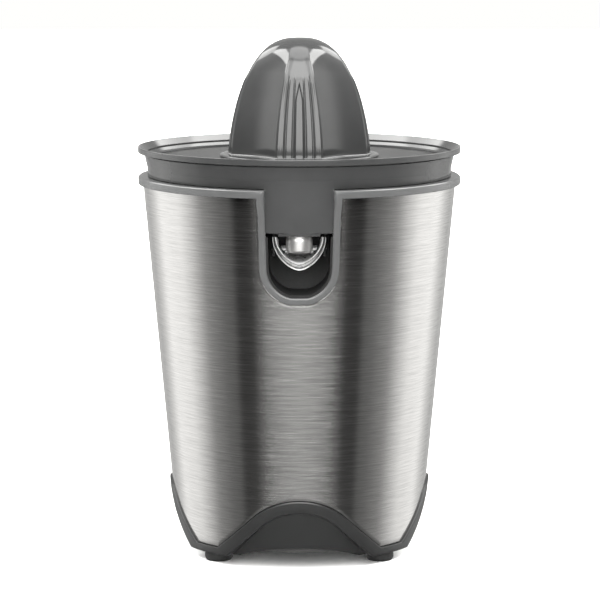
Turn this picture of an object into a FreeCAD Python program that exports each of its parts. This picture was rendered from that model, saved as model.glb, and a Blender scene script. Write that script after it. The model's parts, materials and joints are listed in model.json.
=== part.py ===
import FreeCAD, Part
import math
import os
import re
import Sketcher

# Electric citrus press.  Millimetres.  The soles of the four feet are on z = 0, the shaft is the
# Z axis and the pouring spout looks towards -Y.

V = FreeCAD.Vector

SIZES = {
    # steel wrap: a plain cone from the feet up to the trim ring
    "shell_low": 8.9, "shell_high": 184.3, "shell_low_radius": 62.28, "shell_slope": 0.0903,
    "steel_wall": 0.8, "moulded_wall": 2.0,
    # trim ring and the U-shaped frame that hangs from its front
    "ring_high": 188.2, "ring_radius": 80.7, "ring_bore": 74.3, "frame_proud": 0.8,
    "frame_width": 3.3, "window_half_top": 20.9, "window_half_low": 19.1, "window_turn": 150.0,
    "window_bottom": 133.0, "recess_back": -48.0,
    # base moulding
    "skirt_top": 36.0, "skirt_foot": 4.8, "skirt_proud": 1.3, "arch_top": 35.2,
    "front_arch": 31.9, "side_arch": 24.0, "band_width": 5.8, "panel_low_radius": 57.6,
    "panel_slope": 0.3, "skirt_bore": 56.4, "skirt_bore_slope": 0.2, "scallop_top": 10.5,
    "front_scallop": 90.0, "side_scallop": 80.0, "pad_bore": 46.0, "pad_height": 2.0,
    "cover_low": 8.0, "cover_high": 10.1, "post_x": 26.0, "post_y": 46.0,
    "post_radius": 6.6, "post_high": 30.0, "screw_radius": 1.5, "screw_head": 3.1,
    "base_screw_radius": 1.3, "base_screw_head": 1.6, "slot_half": 1.3,
    "foot_radius": 6.85, "foot_x": 40.0, "foot_y": 37.1, "peg_radius": 2.0,
    # juice bowl
    "rim_top": 202.9, "rim_radius": 80.75, "bowl_low": 173.5, "bowl_radius": 73.2,
    "bowl_wall": 1.8, "bowl_floor": 176.0, "lip_low": 200.0, "wall_low": 192.5,
    "wall_low_radius": 76.1, "wall_top_radius": 77.8, "ledge": 194.8, "ledge_radius": 75.3,
    "chimney_radius": 13.0, "chimney_top": 192.0, "panel_bottom": 166.2,
    "chute_half": 10.2, "chute_bottom": 165.8, "chute_wall": 1.8, "nozzle_y": -66.0,
    "nozzle_radius": 6.4, "nozzle_bore": 4.0, "nozzle_tail": 5.2, "nozzle_bottom": 157.6,
    "seal_height": 1.1,
    # strainer, cone
    "strainer_radius": 74.8, "strainer_floor": 187.0, "strainer_hub": 17.0,
    "strainer_wall": 1.5, "hub_high": 193.0, "juice_slot_half": 0.9,
    "cone_radius": 35.2, "cone_base": 198.0, "cone_height": 58.8, "cone_flange": 40.0,
    "cone_hub": 9.0, "cone_hub_low": 186.0, "sleeve_low": 189.0, "insert_radius": 6.5,
    # pouring spout
    "spout_pivot_y": -56.0, "spout_pivot_z": 157.5, "spout_half": 12.9, "spout_top": 165.3,
    "spout_low": 149.2, "spout_front": -71.5, "spout_wall": 1.4, "spout_rise": 5.6,
    "spout_pin_radius": 1.0, "barrel_radius": 2.2, "ear_inner": 11.4, "ear_outer": 13.1,
    # housing deck and shaft
    "deck_low": 169.5, "deck_high": 172.3, "deck_collar": 9.5, "collar_top": 181.0,
    "deck_bore": 6.0, "deck_boss_low": 165.0, "shaft_radius": 4.0, "hex_across": 7.0,
    "shaft_low": 124.0, "shaft_shoulder": 184.0, "shaft_top": 226.0, "running": 0.06,
    # gearbox
    "box_low": 135.0, "box_floor": 138.0, "box_high": 159.0, "lid_high": 162.0,
    "output_module": 1.0, "motor_module": 0.8, "wheel_teeth": 60, "pinion_teeth": 12,
    "idler_angle": 150.0, "motor_angle": 26.0, "journal_radius": 6.0, "bush_radius": 8.4,
    "idler_pin_radius": 2.0, "output_room": 33.0, "idler_room": 26.6, "motor_room": 7.0,
    "gearbox_wall": 2.0, "bush_boss": 10.8, "ear_radius": 5.0, "ear_hole": 1.9,
    "output_low": 150.0, "output_high": 157.0, "idler_low": 141.0, "idler_high": 146.0,
    "idler_pinion_high": 158.0, "motor_pinion_low": 140.0, "motor_pinion_high": 147.0,
    # motor
    "stack_low": 68.0, "stack_high": 90.0, "rotor_radius": 13.0, "air_gap": 0.5,
    "motor_shaft_radius": 2.5, "bearing_radius": 6.0, "stack_half": 24.0, "stack_front": 43.0,
    "stack_back": 21.0, "leg_half": 14.0, "coil_low": 61.0, "coil_high": 97.0,
    "bracket_depth": 9.0, "pillar_radius": 3.5, "pillar_x": 20.0, "motor_shaft_low": 40.0,
    "fan_low": 42.0, "fan_high": 50.0, "fan_hub": 6.0, "fan_radius": 21.0,
    # press switch
    "seat_high": 109.6, "collar_low": 130.8, "lever_pivot_y": -34.0, "lever_pivot_z": 124.0,
    "bracket_half": 14.0, "bracket_front": -38.0, "bracket_low": 133.4, "sheet": 1.4,
    "lever_pin_radius": 1.5, "plunger_radius": 1.2, "plunger_x": 7.0, "plunger_y": -20.0,
    "fixing_x": 10.6, "fixing_y": -20.0,
    # cord entry
    "gland_z": 19.0, "gland_bore": 3.4, "gland_radius": 4.95, "gland_flange": 6.6,
    "clamp_front": 38.0, "clamp_back": 46.0, "clamp_half": 12.0, "terminal_high": 22.0,
}

doc = FreeCAD.newDocument("citrus_press")
dims = doc.addObject("Spreadsheet::Sheet", "dims")
for row, (alias, size) in enumerate(SIZES.items(), start=1):
    dims.set("A%d" % row, alias)
    dims.set("B%d" % row, str(size))
    dims.setAlias("B%d" % row, alias)
doc.recompute()


# ---------------------------------------------------------------- expressions

def bound(text):
    """The expression with each alias pointed at the sheet."""
    return re.sub("[a-z_]+", lambda word: ("dims." if word[0] in SIZES else "") + word[0], text)


def number(text):
    return float(dims.evalExpression(bound(text)))


def bind(item, **properties):
    for name, text in properties.items():
        item.setExpression(name.replace("__", "."), bound(text))
    return item


def put(item, x="0", y="0", z="0"):
    return bind(item, Placement__Base__x=x, Placement__Base__y=y, Placement__Base__z=z)


def shell_at(height):
    """Outside radius of the steel cone at a height."""
    return "(shell_low_radius + (%s - shell_low) * shell_slope)" % height


def arch_line(radius):
    """Width plus height of any point on an arch's 45 degree flank."""
    return "(arch_top + (sqrt(2) - 1) * %s)" % radius


# ---------------------------------------------------------------- sketches and features

def origin_plane(body, role):
    return [item for item in body.Origin.OriginFeatures if item.Role == role][0]


def arc_middle(start, stop, radius):
    """Middle of the arc; a positive radius turns left on the way from start to stop."""
    chord = stop - start
    half = chord.Length / 2
    rise = abs(radius) - math.sqrt(radius * radius - half * half)
    side = V(chord.y, -chord.x, 0).normalize() * math.copysign(rise, radius)
    return (start + stop) / 2 + side


def draw_loop(sketch, corners):
    """Closed outline.  A corner is (across, up), or (across, up, radius) where an arc leaves it."""
    spots = [V(number(corner[0]), number(corner[1]), 0) for corner in corners]
    edges = []
    for index, corner in enumerate(corners):
        start, stop = spots[index], spots[(index + 1) % len(spots)]
        if len(corner) == 2:
            curve = Part.LineSegment(start, stop)
        else:
            curve = Part.Arc(start, arc_middle(start, stop, number(corner[2])), stop)
        edge = sketch.addGeometry(curve, False)
        forward = sketch.getPoint(edge, 1).distanceToPoint(start) < 1e-6
        edges.append((edge, 1, 2) if forward else (edge, 2, 1))
    for index, (edge, first, last) in enumerate(edges):
        following = edges[(index + 1) % len(edges)]
        sketch.addConstraint(Sketcher.Constraint("Coincident", edge, last, following[0], following[1]))
        for kind, text, axis in (("DistanceX", corners[index][0], -2), ("DistanceY", corners[index][1], -1)):
            if abs(number(text)) < 1e-9:
                sketch.addConstraint(Sketcher.Constraint("PointOnObject", edge, first, axis))
            else:
                pin = sketch.addConstraint(Sketcher.Constraint(kind, -1, 1, edge, first, number(text)))
                sketch.setExpression("Constraints[%d]" % pin, bound(text))
        if len(corners[index]) == 3:
            size = abs(number(corners[index][2]))
            pin = sketch.addConstraint(Sketcher.Constraint("Radius", edge, size))
            sketch.setExpression("Constraints[%d]" % pin, bound("abs(%s)" % corners[index][2]))


def new_sketch(body, role, corners, offset="0"):
    sketch = body.newObject("Sketcher::SketchObject", body.Name + "_sketch")
    sketch.AttachmentSupport = [(origin_plane(body, role), "")]
    sketch.MapMode = "FlatFace"
    sketch.setExpression("AttachmentOffset.Base.z", bound(offset))
    draw_loop(sketch, corners)
    return sketch


def turned(name, corners, x="0", y="0"):
    """A body turned about the vertical through x, y from a half section of (radius, height)."""
    body = doc.addObject("PartDesign::Body", name)
    sketch = new_sketch(body, "XZ_Plane", corners)
    doc.recompute()
    turn = body.newObject("PartDesign::Revolution", name + "_turn")
    turn.Profile = sketch
    turn.ReferenceAxis = (sketch, ["V_Axis"])
    turn.Angle = 360
    return put(body, x, y)


def prism(name, plane, corners, low, high, x="0", y="0"):
    """A body padded from low to high, square to the plane."""
    body = doc.addObject("PartDesign::Body", name)
    offset = "-(%s)" % high if plane == "XZ" else low
    sketch = new_sketch(body, plane + "_Plane", corners, offset)
    doc.recompute()
    pad = body.newObject("PartDesign::Pad", name + "_pad")
    pad.Profile = sketch
    bind(pad, Length="(%s) - (%s)" % (high, low))
    return put(body, x, y)


def slotted(body, corners, low, high, count):
    """Pockets one slot through the body from low to high and repeats it round the axis."""
    sketch = new_sketch(body, "XY_Plane", corners, high)
    doc.recompute()
    before = body.Shape.Volume
    pocket = body.newObject("PartDesign::Pocket", body.Name + "_pocket")
    pocket.Profile = sketch
    bind(pocket, Length="(%s) - (%s)" % (high, low))
    doc.recompute()
    if body.Shape.Volume >= before:
        raise RuntimeError("the pocket of %s cuts nothing" % body.Name)
    pattern = body.newObject("PartDesign::PolarPattern", body.Name + "_pattern")
    pattern.Originals = [pocket]
    pattern.Axis = ([item for item in body.Origin.OriginFeatures if item.Role == "Z_Axis"][0], [""])
    pattern.Angle = 360
    pattern.Occurrences = count
    body.Tip = pattern
    doc.recompute()
    return body


# ---------------------------------------------------------------- primitives and booleans

def cylinder(name, radius, low, high, x="0", y="0"):
    item = doc.addObject("Part::Cylinder", name)
    bind(item, Radius=radius, Height="(%s) - (%s)" % (high, low))
    return put(item, x, y, low)


def rod(name, axis, radius, low, high, x="0", y="0", z="0"):
    """A cylinder lying along X or Y."""
    item = doc.addObject("Part::Cylinder", name)
    turn = FreeCAD.Rotation(V(0, 1, 0), 90) if axis == "X" else FreeCAD.Rotation(V(1, 0, 0), -90)
    item.Placement = FreeCAD.Placement(V(), turn)
    bind(item, Radius=radius, Height="(%s) - (%s)" % (high, low))
    return put(item, low if axis == "X" else x, low if axis == "Y" else y, z)


def block(name, across, deep, up):
    item = doc.addObject("Part::Box", name)
    for side, (low, high) in (("Length", across), ("Width", deep), ("Height", up)):
        item.setExpression(side, bound("(%s) - (%s)" % (high, low)))
    return put(item, across[0], deep[0], up[0])


def cone_solid(name, low, high, low_radius, high_radius):
    item = doc.addObject("Part::Cone", name)
    bind(item, Radius1=low_radius, Radius2=high_radius, Height="(%s) - (%s)" % (high, low))
    return put(item, z=low)


def joined(name, pieces):
    item = doc.addObject("Part::MultiFuse", name)
    item.Shapes = pieces
    item.Refine = True
    return item


def shared(name, pieces):
    item = doc.addObject("Part::MultiCommon", name)
    item.Shapes = pieces
    return item


def cut(name, base, tools):
    item = doc.addObject("Part::Cut", name)
    item.Base = base
    item.Tool = tools[0] if len(tools) == 1 else joined(name + "_tools", tools)
    item.Refine = True
    return item


def group(name, pieces):
    """Separate solids that share one node."""
    item = doc.addObject("Part::Compound", name)
    item.Links = pieces
    return item


def four(name, make, x, y):
    """The same piece at the four corners x, y."""
    corners = [(a + x, b + y) for a in ("-", "") for b in ("-", "")]
    return [make("%s_%d" % (name, index), *corner) for index, corner in enumerate(corners)]


# ---------------------------------------------------------------- casing

def window(name, margin, low="-95", high="-40"):
    """Prism through the front wall inside the U-shaped outline, set in by a margin."""
    turn = "(window_turn)"
    half_low = "window_half_low - %s" % margin
    bottom = "window_bottom + %s" % margin
    bend = "(%s) * 0.92" % half_low
    corners = [
        ("-(window_half_top - %s)" % margin, "ring_high + 20"),
        ("-(%s)" % half_low, turn, "%s" % bend),
        ("-4", bottom),
        ("4", bottom, "%s" % bend),
        (half_low, turn),
        ("window_half_top - %s" % margin, "ring_high + 20"),
    ]
    return prism(name, "XZ", corners, low, high)


def arch(name, radius, plane):
    """Prism right across the base, with a round top and 45 degree flanks."""
    spread = "(%s * sqrt(0.5))" % radius
    shoulder = "(arch_top - %s + %s)" % (radius, spread)
    foot = "(%s + 2)" % arch_line(radius)
    corners = [("-" + foot, "-2"), (foot, "-2"), (spread, shoulder, radius), ("-" + spread, shoulder)]
    return prism(name, plane, corners, "-90", "90")


def arch_cross(name, shrink):
    return joined(name, [
        arch(name + "_front", "(front_arch - %s)" % shrink, "XZ"),
        arch(name + "_side", "(side_arch - %s)" % shrink, "YZ"),
    ])


def outer_shell():
    inner = "%s - steel_wall"
    wrap = turned("shell_wrap", [
        (inner % shell_at("shell_low"), "shell_low"), (shell_at("shell_low"), "shell_low"),
        (shell_at("shell_high"), "shell_high"), (inner % shell_at("shell_high"), "shell_high")])
    return cut("outer_shell", wrap, [arch_cross("shell_arches", "-0.4"), window("shell_window", "-0.1")])


def trim_ring():
    ring = turned("ring_band", [
        ("ring_bore", "shell_high - 5"), ("ring_bore + 1.6", "shell_high - 5"),
        ("ring_bore + 1.6", "shell_high"), ("ring_radius - 1", "shell_high", "1"),
        ("ring_radius", "shell_high + 1"), ("ring_radius", "ring_high - 1", "1"),
        ("ring_radius - 1", "ring_high"), ("ring_bore + 0.6", "ring_high"), ("ring_bore", "ring_high - 0.6")])
    depth = "frame_proud + moulded_wall"
    outside = cone_solid(
        "frame_outside", "window_bottom - 2", "shell_high + 0.5",
        "%s + frame_proud" % shell_at("(window_bottom - 2)"),
        "%s + frame_proud" % shell_at("(shell_high + 0.5)"))
    inside = cone_solid(
        "frame_inside", "window_bottom - 3", "shell_high + 1",
        "%s + frame_proud - (%s)" % (shell_at("(window_bottom - 3)"), depth),
        "%s + frame_proud - (%s)" % (shell_at("(shell_high + 1)"), depth))
    wall = cut("frame_wall", outside, [inside])
    frame = shared("frame_strip", [wall, window("frame_outline", "0")])
    return cut("trim_ring", joined("ring_and_frame", [ring, frame]), [window("frame_opening", "frame_width")])


def spout_recess():
    """Black liner behind the U frame, open at the front and at the top."""
    trough = window("liner_outline", "(frame_width + 0.05)", "-95", "recess_back")
    hollow = window("liner_hollow", "(frame_width + 1.25)", "-99", "recess_back - 1.4")
    top = block("liner_top", ("-30", "30"), ("-95", "-30"), ("panel_bottom - 0.6", "240"))
    body = cut("liner_trough", trough, [hollow, top])
    return shared("spout_recess", [body, cone_solid(
        "liner_limit", "100", "deck_low", "%s - 0.2" % shell_at("100"), "%s - 0.2" % shell_at("deck_low"))])


def inner_housing():
    """Moulded chassis inside the steel: tapered wall, deck with a raised collar, and hanging bosses."""
    outside, inside = "%s - 0.95", "%s - 0.95 - moulded_wall"
    wall = turned("housing_wall", [
        (inside % shell_at("skirt_top"), "skirt_top"), (outside % shell_at("skirt_top"), "skirt_top"),
        (outside % shell_at("(shell_high - 5.2)"), "shell_high - 5.2"),
        (inside % shell_at("(shell_high - 5.2)"), "shell_high - 5.2"),
        (inside % shell_at("deck_high"), "deck_high"), ("deck_collar", "deck_high"),
        ("deck_collar", "collar_top"), ("deck_bore", "collar_top"), ("deck_bore", "deck_boss_low"),
        ("deck_collar", "deck_boss_low"), ("deck_collar", "deck_low"),
        (inside % shell_at("deck_low"), "deck_low")])
    bosses = [cylinder("deck_boss_%d" % index, "ear_radius", "lid_high", "deck_low + 1", x, y)
              for index, (x, y) in enumerate(GEARBOX_EARS)]
    holes = [cylinder("boss_hole_%d" % index, "screw_radius", "lid_high - 1", "deck_low", x, y)
             for index, (x, y) in enumerate(GEARBOX_EARS)]
    notch = window("deck_notch", "(frame_width - 0.1)", "-95", "recess_back + 0.1")
    slot = window("wall_slot", "-0.1", "-95", "-50")
    return cut("inner_housing", joined("housing_and_bosses", [wall] + bosses), holes + [notch, slot])


def base_skirt():
    outside = "%s + skirt_proud"
    blank = cone_solid("skirt_outside", "skirt_foot", "skirt_top",
                       outside % shell_at("skirt_foot"), outside % shell_at("skirt_top"))
    behind = cone_solid("skirt_behind", "skirt_foot", "skirt_top",
                        "%s - 0.95" % shell_at("skirt_foot"), "%s - 0.95" % shell_at("skirt_top"))
    lip = cylinder("skirt_lip", "90", "skirt_foot", "shell_low - 0.4")
    proud = shared("skirt_proud_parts", [blank, joined("skirt_mask", [arch_cross("skirt_arches", "0"), lip])])
    bore = cone_solid("skirt_bore_cone", "skirt_foot - 1", "skirt_top + 1", "skirt_bore - skirt_bore_slope",
                      "skirt_bore + (skirt_top - skirt_foot + 1) * skirt_bore_slope")
    recess = shared("skirt_recess", [
        cut("recess_ring", cylinder("recess_blank", "90", "0", "skirt_top"), [cone_solid(
            "recess_core", "-1", "skirt_top + 1", "panel_low_radius - 6 * panel_slope",
            "panel_low_radius + (skirt_top - 4) * panel_slope")]),
        arch_cross("recess_arches", "band_width")])
    walls = cut("skirt_walls", joined("skirt_blank", [proud, behind]), [bore, recess])
    pad_disc = cylinder("pad_disc", "skirt_bore + 0.6", "skirt_foot", "skirt_foot + pad_height")
    pads = cut("skirt_pads", pad_disc, [cylinder("pad_hole", "pad_bore", "0", "20")])

    def upright(radius, low, high):
        return lambda name, x, y: cylinder(name, radius, low, high, x, y)

    posts = four("skirt_post", upright("post_radius", "cover_high + 0.1", "post_high"), "post_x", "post_y")
    drill = [
        rod("scallop_front", "Y", "front_scallop", "-90", "90", z="scallop_top - front_scallop"),
        rod("scallop_side", "X", "side_scallop", "-90", "90", z="scallop_top - side_scallop"),
        rod("gland_hole", "Y", "gland_radius + 0.05", "40", "90", z="gland_z")]
    drill += four("post_hole", upright("base_screw_radius", "5", "24"), "post_x", "post_y")
    drill += four("head_hole", upright("screw_head + 0.2", "0", "cover_low"), "post_x", "post_y")
    drill += four("peg_hole", upright("peg_radius", "0", "skirt_foot + pad_height + 0.1"), "foot_x", "foot_y")
    whole = joined("skirt_whole", [walls, pads] + posts)
    return cut("base_skirt", whole, drill)


def bottom_cover():
    disc = turned("cover_disc", [
        ("0", "cover_low"), ("skirt_bore", "cover_low"), ("skirt_bore + 0.3", "cover_high"),
        ("0", "cover_high")])
    slotted(disc, [("26", "-slot_half"), ("38", "-slot_half", "slot_half + 0.2"), ("38", "slot_half"),
                   ("26", "slot_half", "slot_half + 0.2")], "6", "12", 12)
    holes = four("cover_hole", lambda name, x, y: cylinder(name, "1.7", "5", "12", x, y), "post_x", "post_y")
    return cut("bottom_cover", disc, holes)


def rubber_foot(name, x, y):
    return turned(name, [
        ("0", "0"), ("foot_radius - 0.7", "0"), ("foot_radius", "0.7"), ("foot_radius", "skirt_foot"),
        ("peg_radius", "skirt_foot"), ("peg_radius", "skirt_foot + pad_height"),
        ("0", "skirt_foot + pad_height")], x, y)


def screw(name, x, y, head_low, head_high, tip, radius="screw_radius", head="screw_head"):
    return turned(name, [
        ("0", head_low), (head, head_low), (head, head_high), (radius, head_high), (radius, tip),
        ("0", tip)], x, y)


def cord_gland():
    """Moulded gland in the back of the skirt, with a clear bore for the mains lead."""
    sleeve = joined("gland_solid", [
        rod("gland_body", "Y", "gland_radius", "54", "66.5", z="gland_z"),
        rod("gland_collar", "Y", "gland_flange", "52.5", "55.5", z="gland_z")])
    return cut("cord_gland", sleeve, [rod("gland_bore_rod", "Y", "gland_bore", "50", "70", z="gland_z")])


def base_screws():
    def fixing(name, x, y):
        return screw(name, x, y, "cover_low - base_screw_head", "cover_low", "22", "base_screw_radius")

    return group("base_screws", four("base_screw", fixing, "post_x", "post_y"))


def cord_clamp():
    """Bridge that holds the lead down behind the gland."""
    deep = ("clamp_front", "clamp_back")
    bar = block("clamp_bar", ("-clamp_half", "clamp_half"), deep, ("14", "18"))
    left = block("clamp_left", ("-clamp_half", "6 - clamp_half"), deep, ("cover_high", "15"))
    right = block("clamp_right", ("clamp_half - 6", "clamp_half"), deep, ("cover_high", "15"))
    return cut("cord_clamp", joined("clamp_solid", [bar, left, right]), [
        rod("clamp_groove", "Y", "gland_bore + 0.2", "30", "50", z="gland_z - 6")])


def terminal_block():
    body = block("terminal_body", ("20", "44"), ("-8", "8"), ("cover_high", "terminal_high"))
    return cut("terminal_block", body, [
        cylinder("terminal_hole_%d" % index, "1.8", "14", "30", "%d" % (25 + 7 * index), "0")
        for index in range(3)])


# ---------------------------------------------------------------- gears

# A pinion meets its wheel from behind with a gap, not a tooth: half a turn plus half of 30 degrees.
HALF_PITCH_BACK = 195


def idler_spot():
    angle = math.radians(number("idler_angle"))
    reach = number("output_module * (wheel_teeth + pinion_teeth) / 2")
    return reach * math.cos(angle), reach * math.sin(angle)


def motor_spot():
    angle = math.radians(number("motor_angle"))
    reach = number("motor_module * (wheel_teeth + pinion_teeth) / 2")
    x, y = idler_spot()
    return x + reach * math.cos(angle), y + reach * math.sin(angle)


def involute(angle):
    return math.tan(angle) - angle


def gear_face(teeth, module, turn, backlash=0.25):
    """Flat involute gear outline with a tooth centred on the turn angle, in degrees."""
    pitch, pressure = module * teeth / 2, math.radians(20)
    base, root, tip = pitch * math.cos(pressure), pitch - 1.25 * module, pitch + module
    half = math.pi / (2 * teeth) - backlash / (2 * pitch)
    flank = []
    for step in range(4):
        radius = max(base, root) + (tip - max(base, root)) * step / 3
        flank.append((radius, half + involute(pressure) - involute(math.acos(min(1, base / radius)))))
    flank.insert(0, (root, flank[0][1] + 0.3 / pitch))
    spots = []
    for tooth in range(teeth):
        middle = math.radians(turn) + 2 * math.pi * tooth / teeth
        side = [(radius, middle - angle) for radius, angle in flank]
        side += [(radius, middle + angle) for radius, angle in reversed(flank)]
        spots += [V(radius * math.cos(angle), radius * math.sin(angle), 0) for radius, angle in side]
    return Part.Face(Part.makePolygon(spots + spots[:1]))


def toothed(name, teeth, module, turn, low, high):
    """A rim of involute teeth: an outline that no sketch can hold, so its Shape is set here."""
    item = doc.addObject("Part::Feature", name)
    tall = number(high) - number(low)
    item.Shape = gear_face(int(number(teeth)), number(module), turn).extrude(V(0, 0, tall))
    item.Placement = FreeCAD.Placement(V(0, 0, number(low)), FreeCAD.Rotation())
    return item


def moved(name, item, spot):
    """The finished piece set on its own axis."""
    link = doc.addObject("Part::Compound", name)
    link.Links = [item]
    link.Placement = FreeCAD.Placement(V(spot[0], spot[1], 0), FreeCAD.Rotation())
    return link


def output_gear():
    hub = turned("output_hub", [
        ("0", "box_low - 0.4"), ("journal_radius", "box_low - 0.4"), ("journal_radius", "141"), ("8", "141"),
        ("8", "158.6"), ("journal_radius", "158.6"), ("journal_radius", "164"), ("0", "164")])
    rim = toothed("output_rim", "wheel_teeth", "output_module", 0, "output_low", "output_high")
    bore = cut("output_bore", cylinder("bore_round", "shaft_radius + running", "130", "170"), [
        block("bore_flat", ("3.36", "9"), ("-9", "9"), ("141", "158"))])
    return cut("output_gear", joined("output_blank", [hub, rim]), [bore])


def idler_gear():
    hub = turned("idler_hub", [
        ("0", "box_floor + 0.3"), ("4.5", "box_floor + 0.3"), ("4.5", "box_high - 0.4"),
        ("0", "box_high - 0.4")])
    wheel = toothed("idler_wheel", "wheel_teeth", "motor_module", number("motor_angle"),
                    "idler_low", "idler_high")
    pinion = toothed("idler_pinion", "pinion_teeth", "output_module", number("idler_angle") + HALF_PITCH_BACK,
                     "idler_high", "idler_pinion_high")
    bore = cylinder("idler_bore", "idler_pin_radius + running", "130", "170")
    blank = cut("idler_blank", joined("idler_solid", [hub, wheel, pinion]), [bore])
    return moved("idler_gear", blank, idler_spot())


def motor_pinion():
    rim = toothed("pinion_rim", "pinion_teeth", "motor_module", number("motor_angle") + HALF_PITCH_BACK,
                  "motor_pinion_low", "motor_pinion_high")
    bored = cut("pinion_bored", rim, [cylinder("pinion_bore", "motor_shaft_radius", "130", "150")])
    return moved("motor_pinion", bored, motor_spot())


def spot_text(spot):
    return "%.4f" % spot[0], "%.4f" % spot[1]


def box_outline(name, grow, low, high, ears):
    """Plan of the gearbox: a disc round each wheel, and the screw ears."""
    idler, motor = spot_text(idler_spot()), spot_text(motor_spot())
    pieces = [
        cylinder(name + "_output", "output_room + %s" % grow, low, high),
        cylinder(name + "_idler", "idler_room + %s" % grow, low, high, *idler),
        cylinder(name + "_motor", "motor_room + %s" % grow, low, high, *motor)]
    if ears:
        pieces += [cylinder("%s_ear_%d" % (name, index), "ear_radius", low, high, x, y)
                   for index, (x, y) in enumerate(GEARBOX_EARS)]
    return joined(name, pieces)


def gearbox_lower():
    motor = spot_text(motor_spot())
    case = box_outline("lower_case", "gearbox_wall", "box_low", "box_high", True)
    cavity = box_outline("lower_cavity", "0", "box_floor", "box_high + 1", False)
    boss = cylinder("lower_boss", "bush_boss", "box_low", "139.6")
    holes = [cylinder("lower_bush_hole", "bush_radius", "130", "150"),
             cylinder("lower_shaft_hole", "motor_shaft_radius + 1.5", "130", "150", *motor),
             cylinder("lower_screw_hole_a", "1.25", "130", "150", "-fixing_x", "fixing_y"),
             cylinder("lower_screw_hole_b", "1.25", "130", "150", "fixing_x", "fixing_y"),
             cylinder("lower_pin_hole", "idler_pin_radius", "136", "150", *spot_text(idler_spot()))]
    holes += [cylinder("lower_ear_hole_%d" % index, "ear_hole", "130", "170", x, y)
              for index, (x, y) in enumerate(GEARBOX_EARS)]
    return cut("gearbox_lower", joined("lower_solid", [cut("lower_tray", case, [cavity]), boss]), holes)


def gearbox_upper():
    lid = box_outline("upper_lid", "gearbox_wall", "box_high", "lid_high", True)
    boss = cylinder("upper_boss", "bush_boss", "box_high", "lid_high + 2")
    holes = [cylinder("upper_bush_hole", "bush_radius", "150", "170"),
             cylinder("upper_pin_hole", "idler_pin_radius", "150", "161", *spot_text(idler_spot()))]
    holes += [cylinder("upper_ear_hole_%d" % index, "ear_hole", "130", "170", x, y)
              for index, (x, y) in enumerate(GEARBOX_EARS)]
    return cut("gearbox_upper", joined("upper_solid", [lid, boss]), holes)


def bush(name, bore, outside, low, high, x="0", y="0"):
    return turned(name, [(bore, low), (outside, low), (outside, high), (bore, high)], x, y)


# ---------------------------------------------------------------- motor

def motor_stator():
    """C-shaped lamination stack: a pole block round the rotor and a yoke leg for the coil."""
    x, y = spot_text(motor_spot())
    stack = block("stack_block", ("%s - stack_half" % x, "%s + stack_half" % x),
                  ("%s - stack_front" % y, "%s + stack_back" % y), ("stack_low", "stack_high"))
    opening = block("stack_window", ("%s - leg_half" % x, "%s + leg_half" % x),
                    ("%s - stack_front + 12" % y, "%s - 17" % y), ("50", "110"))
    bore = cylinder("stack_bore", "rotor_radius + air_gap", "50", "110", x, y)
    return cut("motor_stator", stack, [opening, bore])


def motor_coil():
    x, y = spot_text(motor_spot())
    bobbin = block("coil_block", ("%s - leg_half + 1" % x, "%s + leg_half - 1" % x),
                   ("%s - stack_front - 6" % y, "%s - stack_front + 19" % y), ("coil_low", "coil_high"))
    leg = block("coil_leg", ("%s - leg_half" % x, "%s + leg_half" % x),
                ("%s - stack_front - 0.2" % y, "%s - stack_front + 12.2" % y),
                ("stack_low - 0.2", "stack_high + 0.2"))
    return cut("motor_coil", bobbin, [leg])


def motor_bracket(name, plate_low, plate_high, leg_low, leg_high):
    """Bridge over the rotor with a seat for its sleeve bearing."""
    x, y = spot_text(motor_spot())
    sides = ("%s - bracket_depth" % y, "%s + bracket_depth" % y)
    left, right = "%s - stack_half" % x, "%s + stack_half" % x
    plate = block(name + "_plate", (left, right), sides, (plate_low, plate_high))
    legs = [block("%s_leg_%d" % (name, index), across, sides, (leg_low, leg_high))
            for index, across in enumerate(((left, left + " + 7"), (right + " - 7", right)))]
    return cut(name, joined(name + "_solid", [plate] + legs), [
        cylinder(name + "_hole", "bearing_radius", "40", "120", x, y)])


def cooling_fan():
    """Six-bladed fan that draws air in through the slots in the bottom cover."""
    hub = turned("fan_core", [
        ("motor_shaft_radius", "fan_low"), ("fan_hub", "fan_low"), ("fan_hub", "fan_high"),
        ("motor_shaft_radius", "fan_high")])
    root = "(fan_hub - 1)"
    blades = []
    for index in range(6):
        blade = block("fan_blade_%d" % index, (root, "fan_radius"), ("-0.7", "0.7"), ("fan_low", "fan_high"))
        blade.Placement.Rotation = FreeCAD.Rotation(V(0, 0, 1), 60 * index)
        bind(blade, Placement__Base__x="%s * cos(%d)" % (root, 60 * index),
             Placement__Base__y="%s * sin(%d)" % (root, 60 * index))
        blades.append(blade)
    plate = turned("fan_plate", [
        (root, "fan_high - 1"), ("fan_radius", "fan_high - 1"), ("fan_radius", "fan_high"),
        (root, "fan_high")])
    return moved("cooling_fan", joined("fan_solid", [hub, plate] + blades), motor_spot())


# ---------------------------------------------------------------- press switch

def lever_axle(name, radius, half):
    return rod(name, "X", radius, "-%s" % half, half, y="lever_pivot_y", z="lever_pivot_z")


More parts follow.
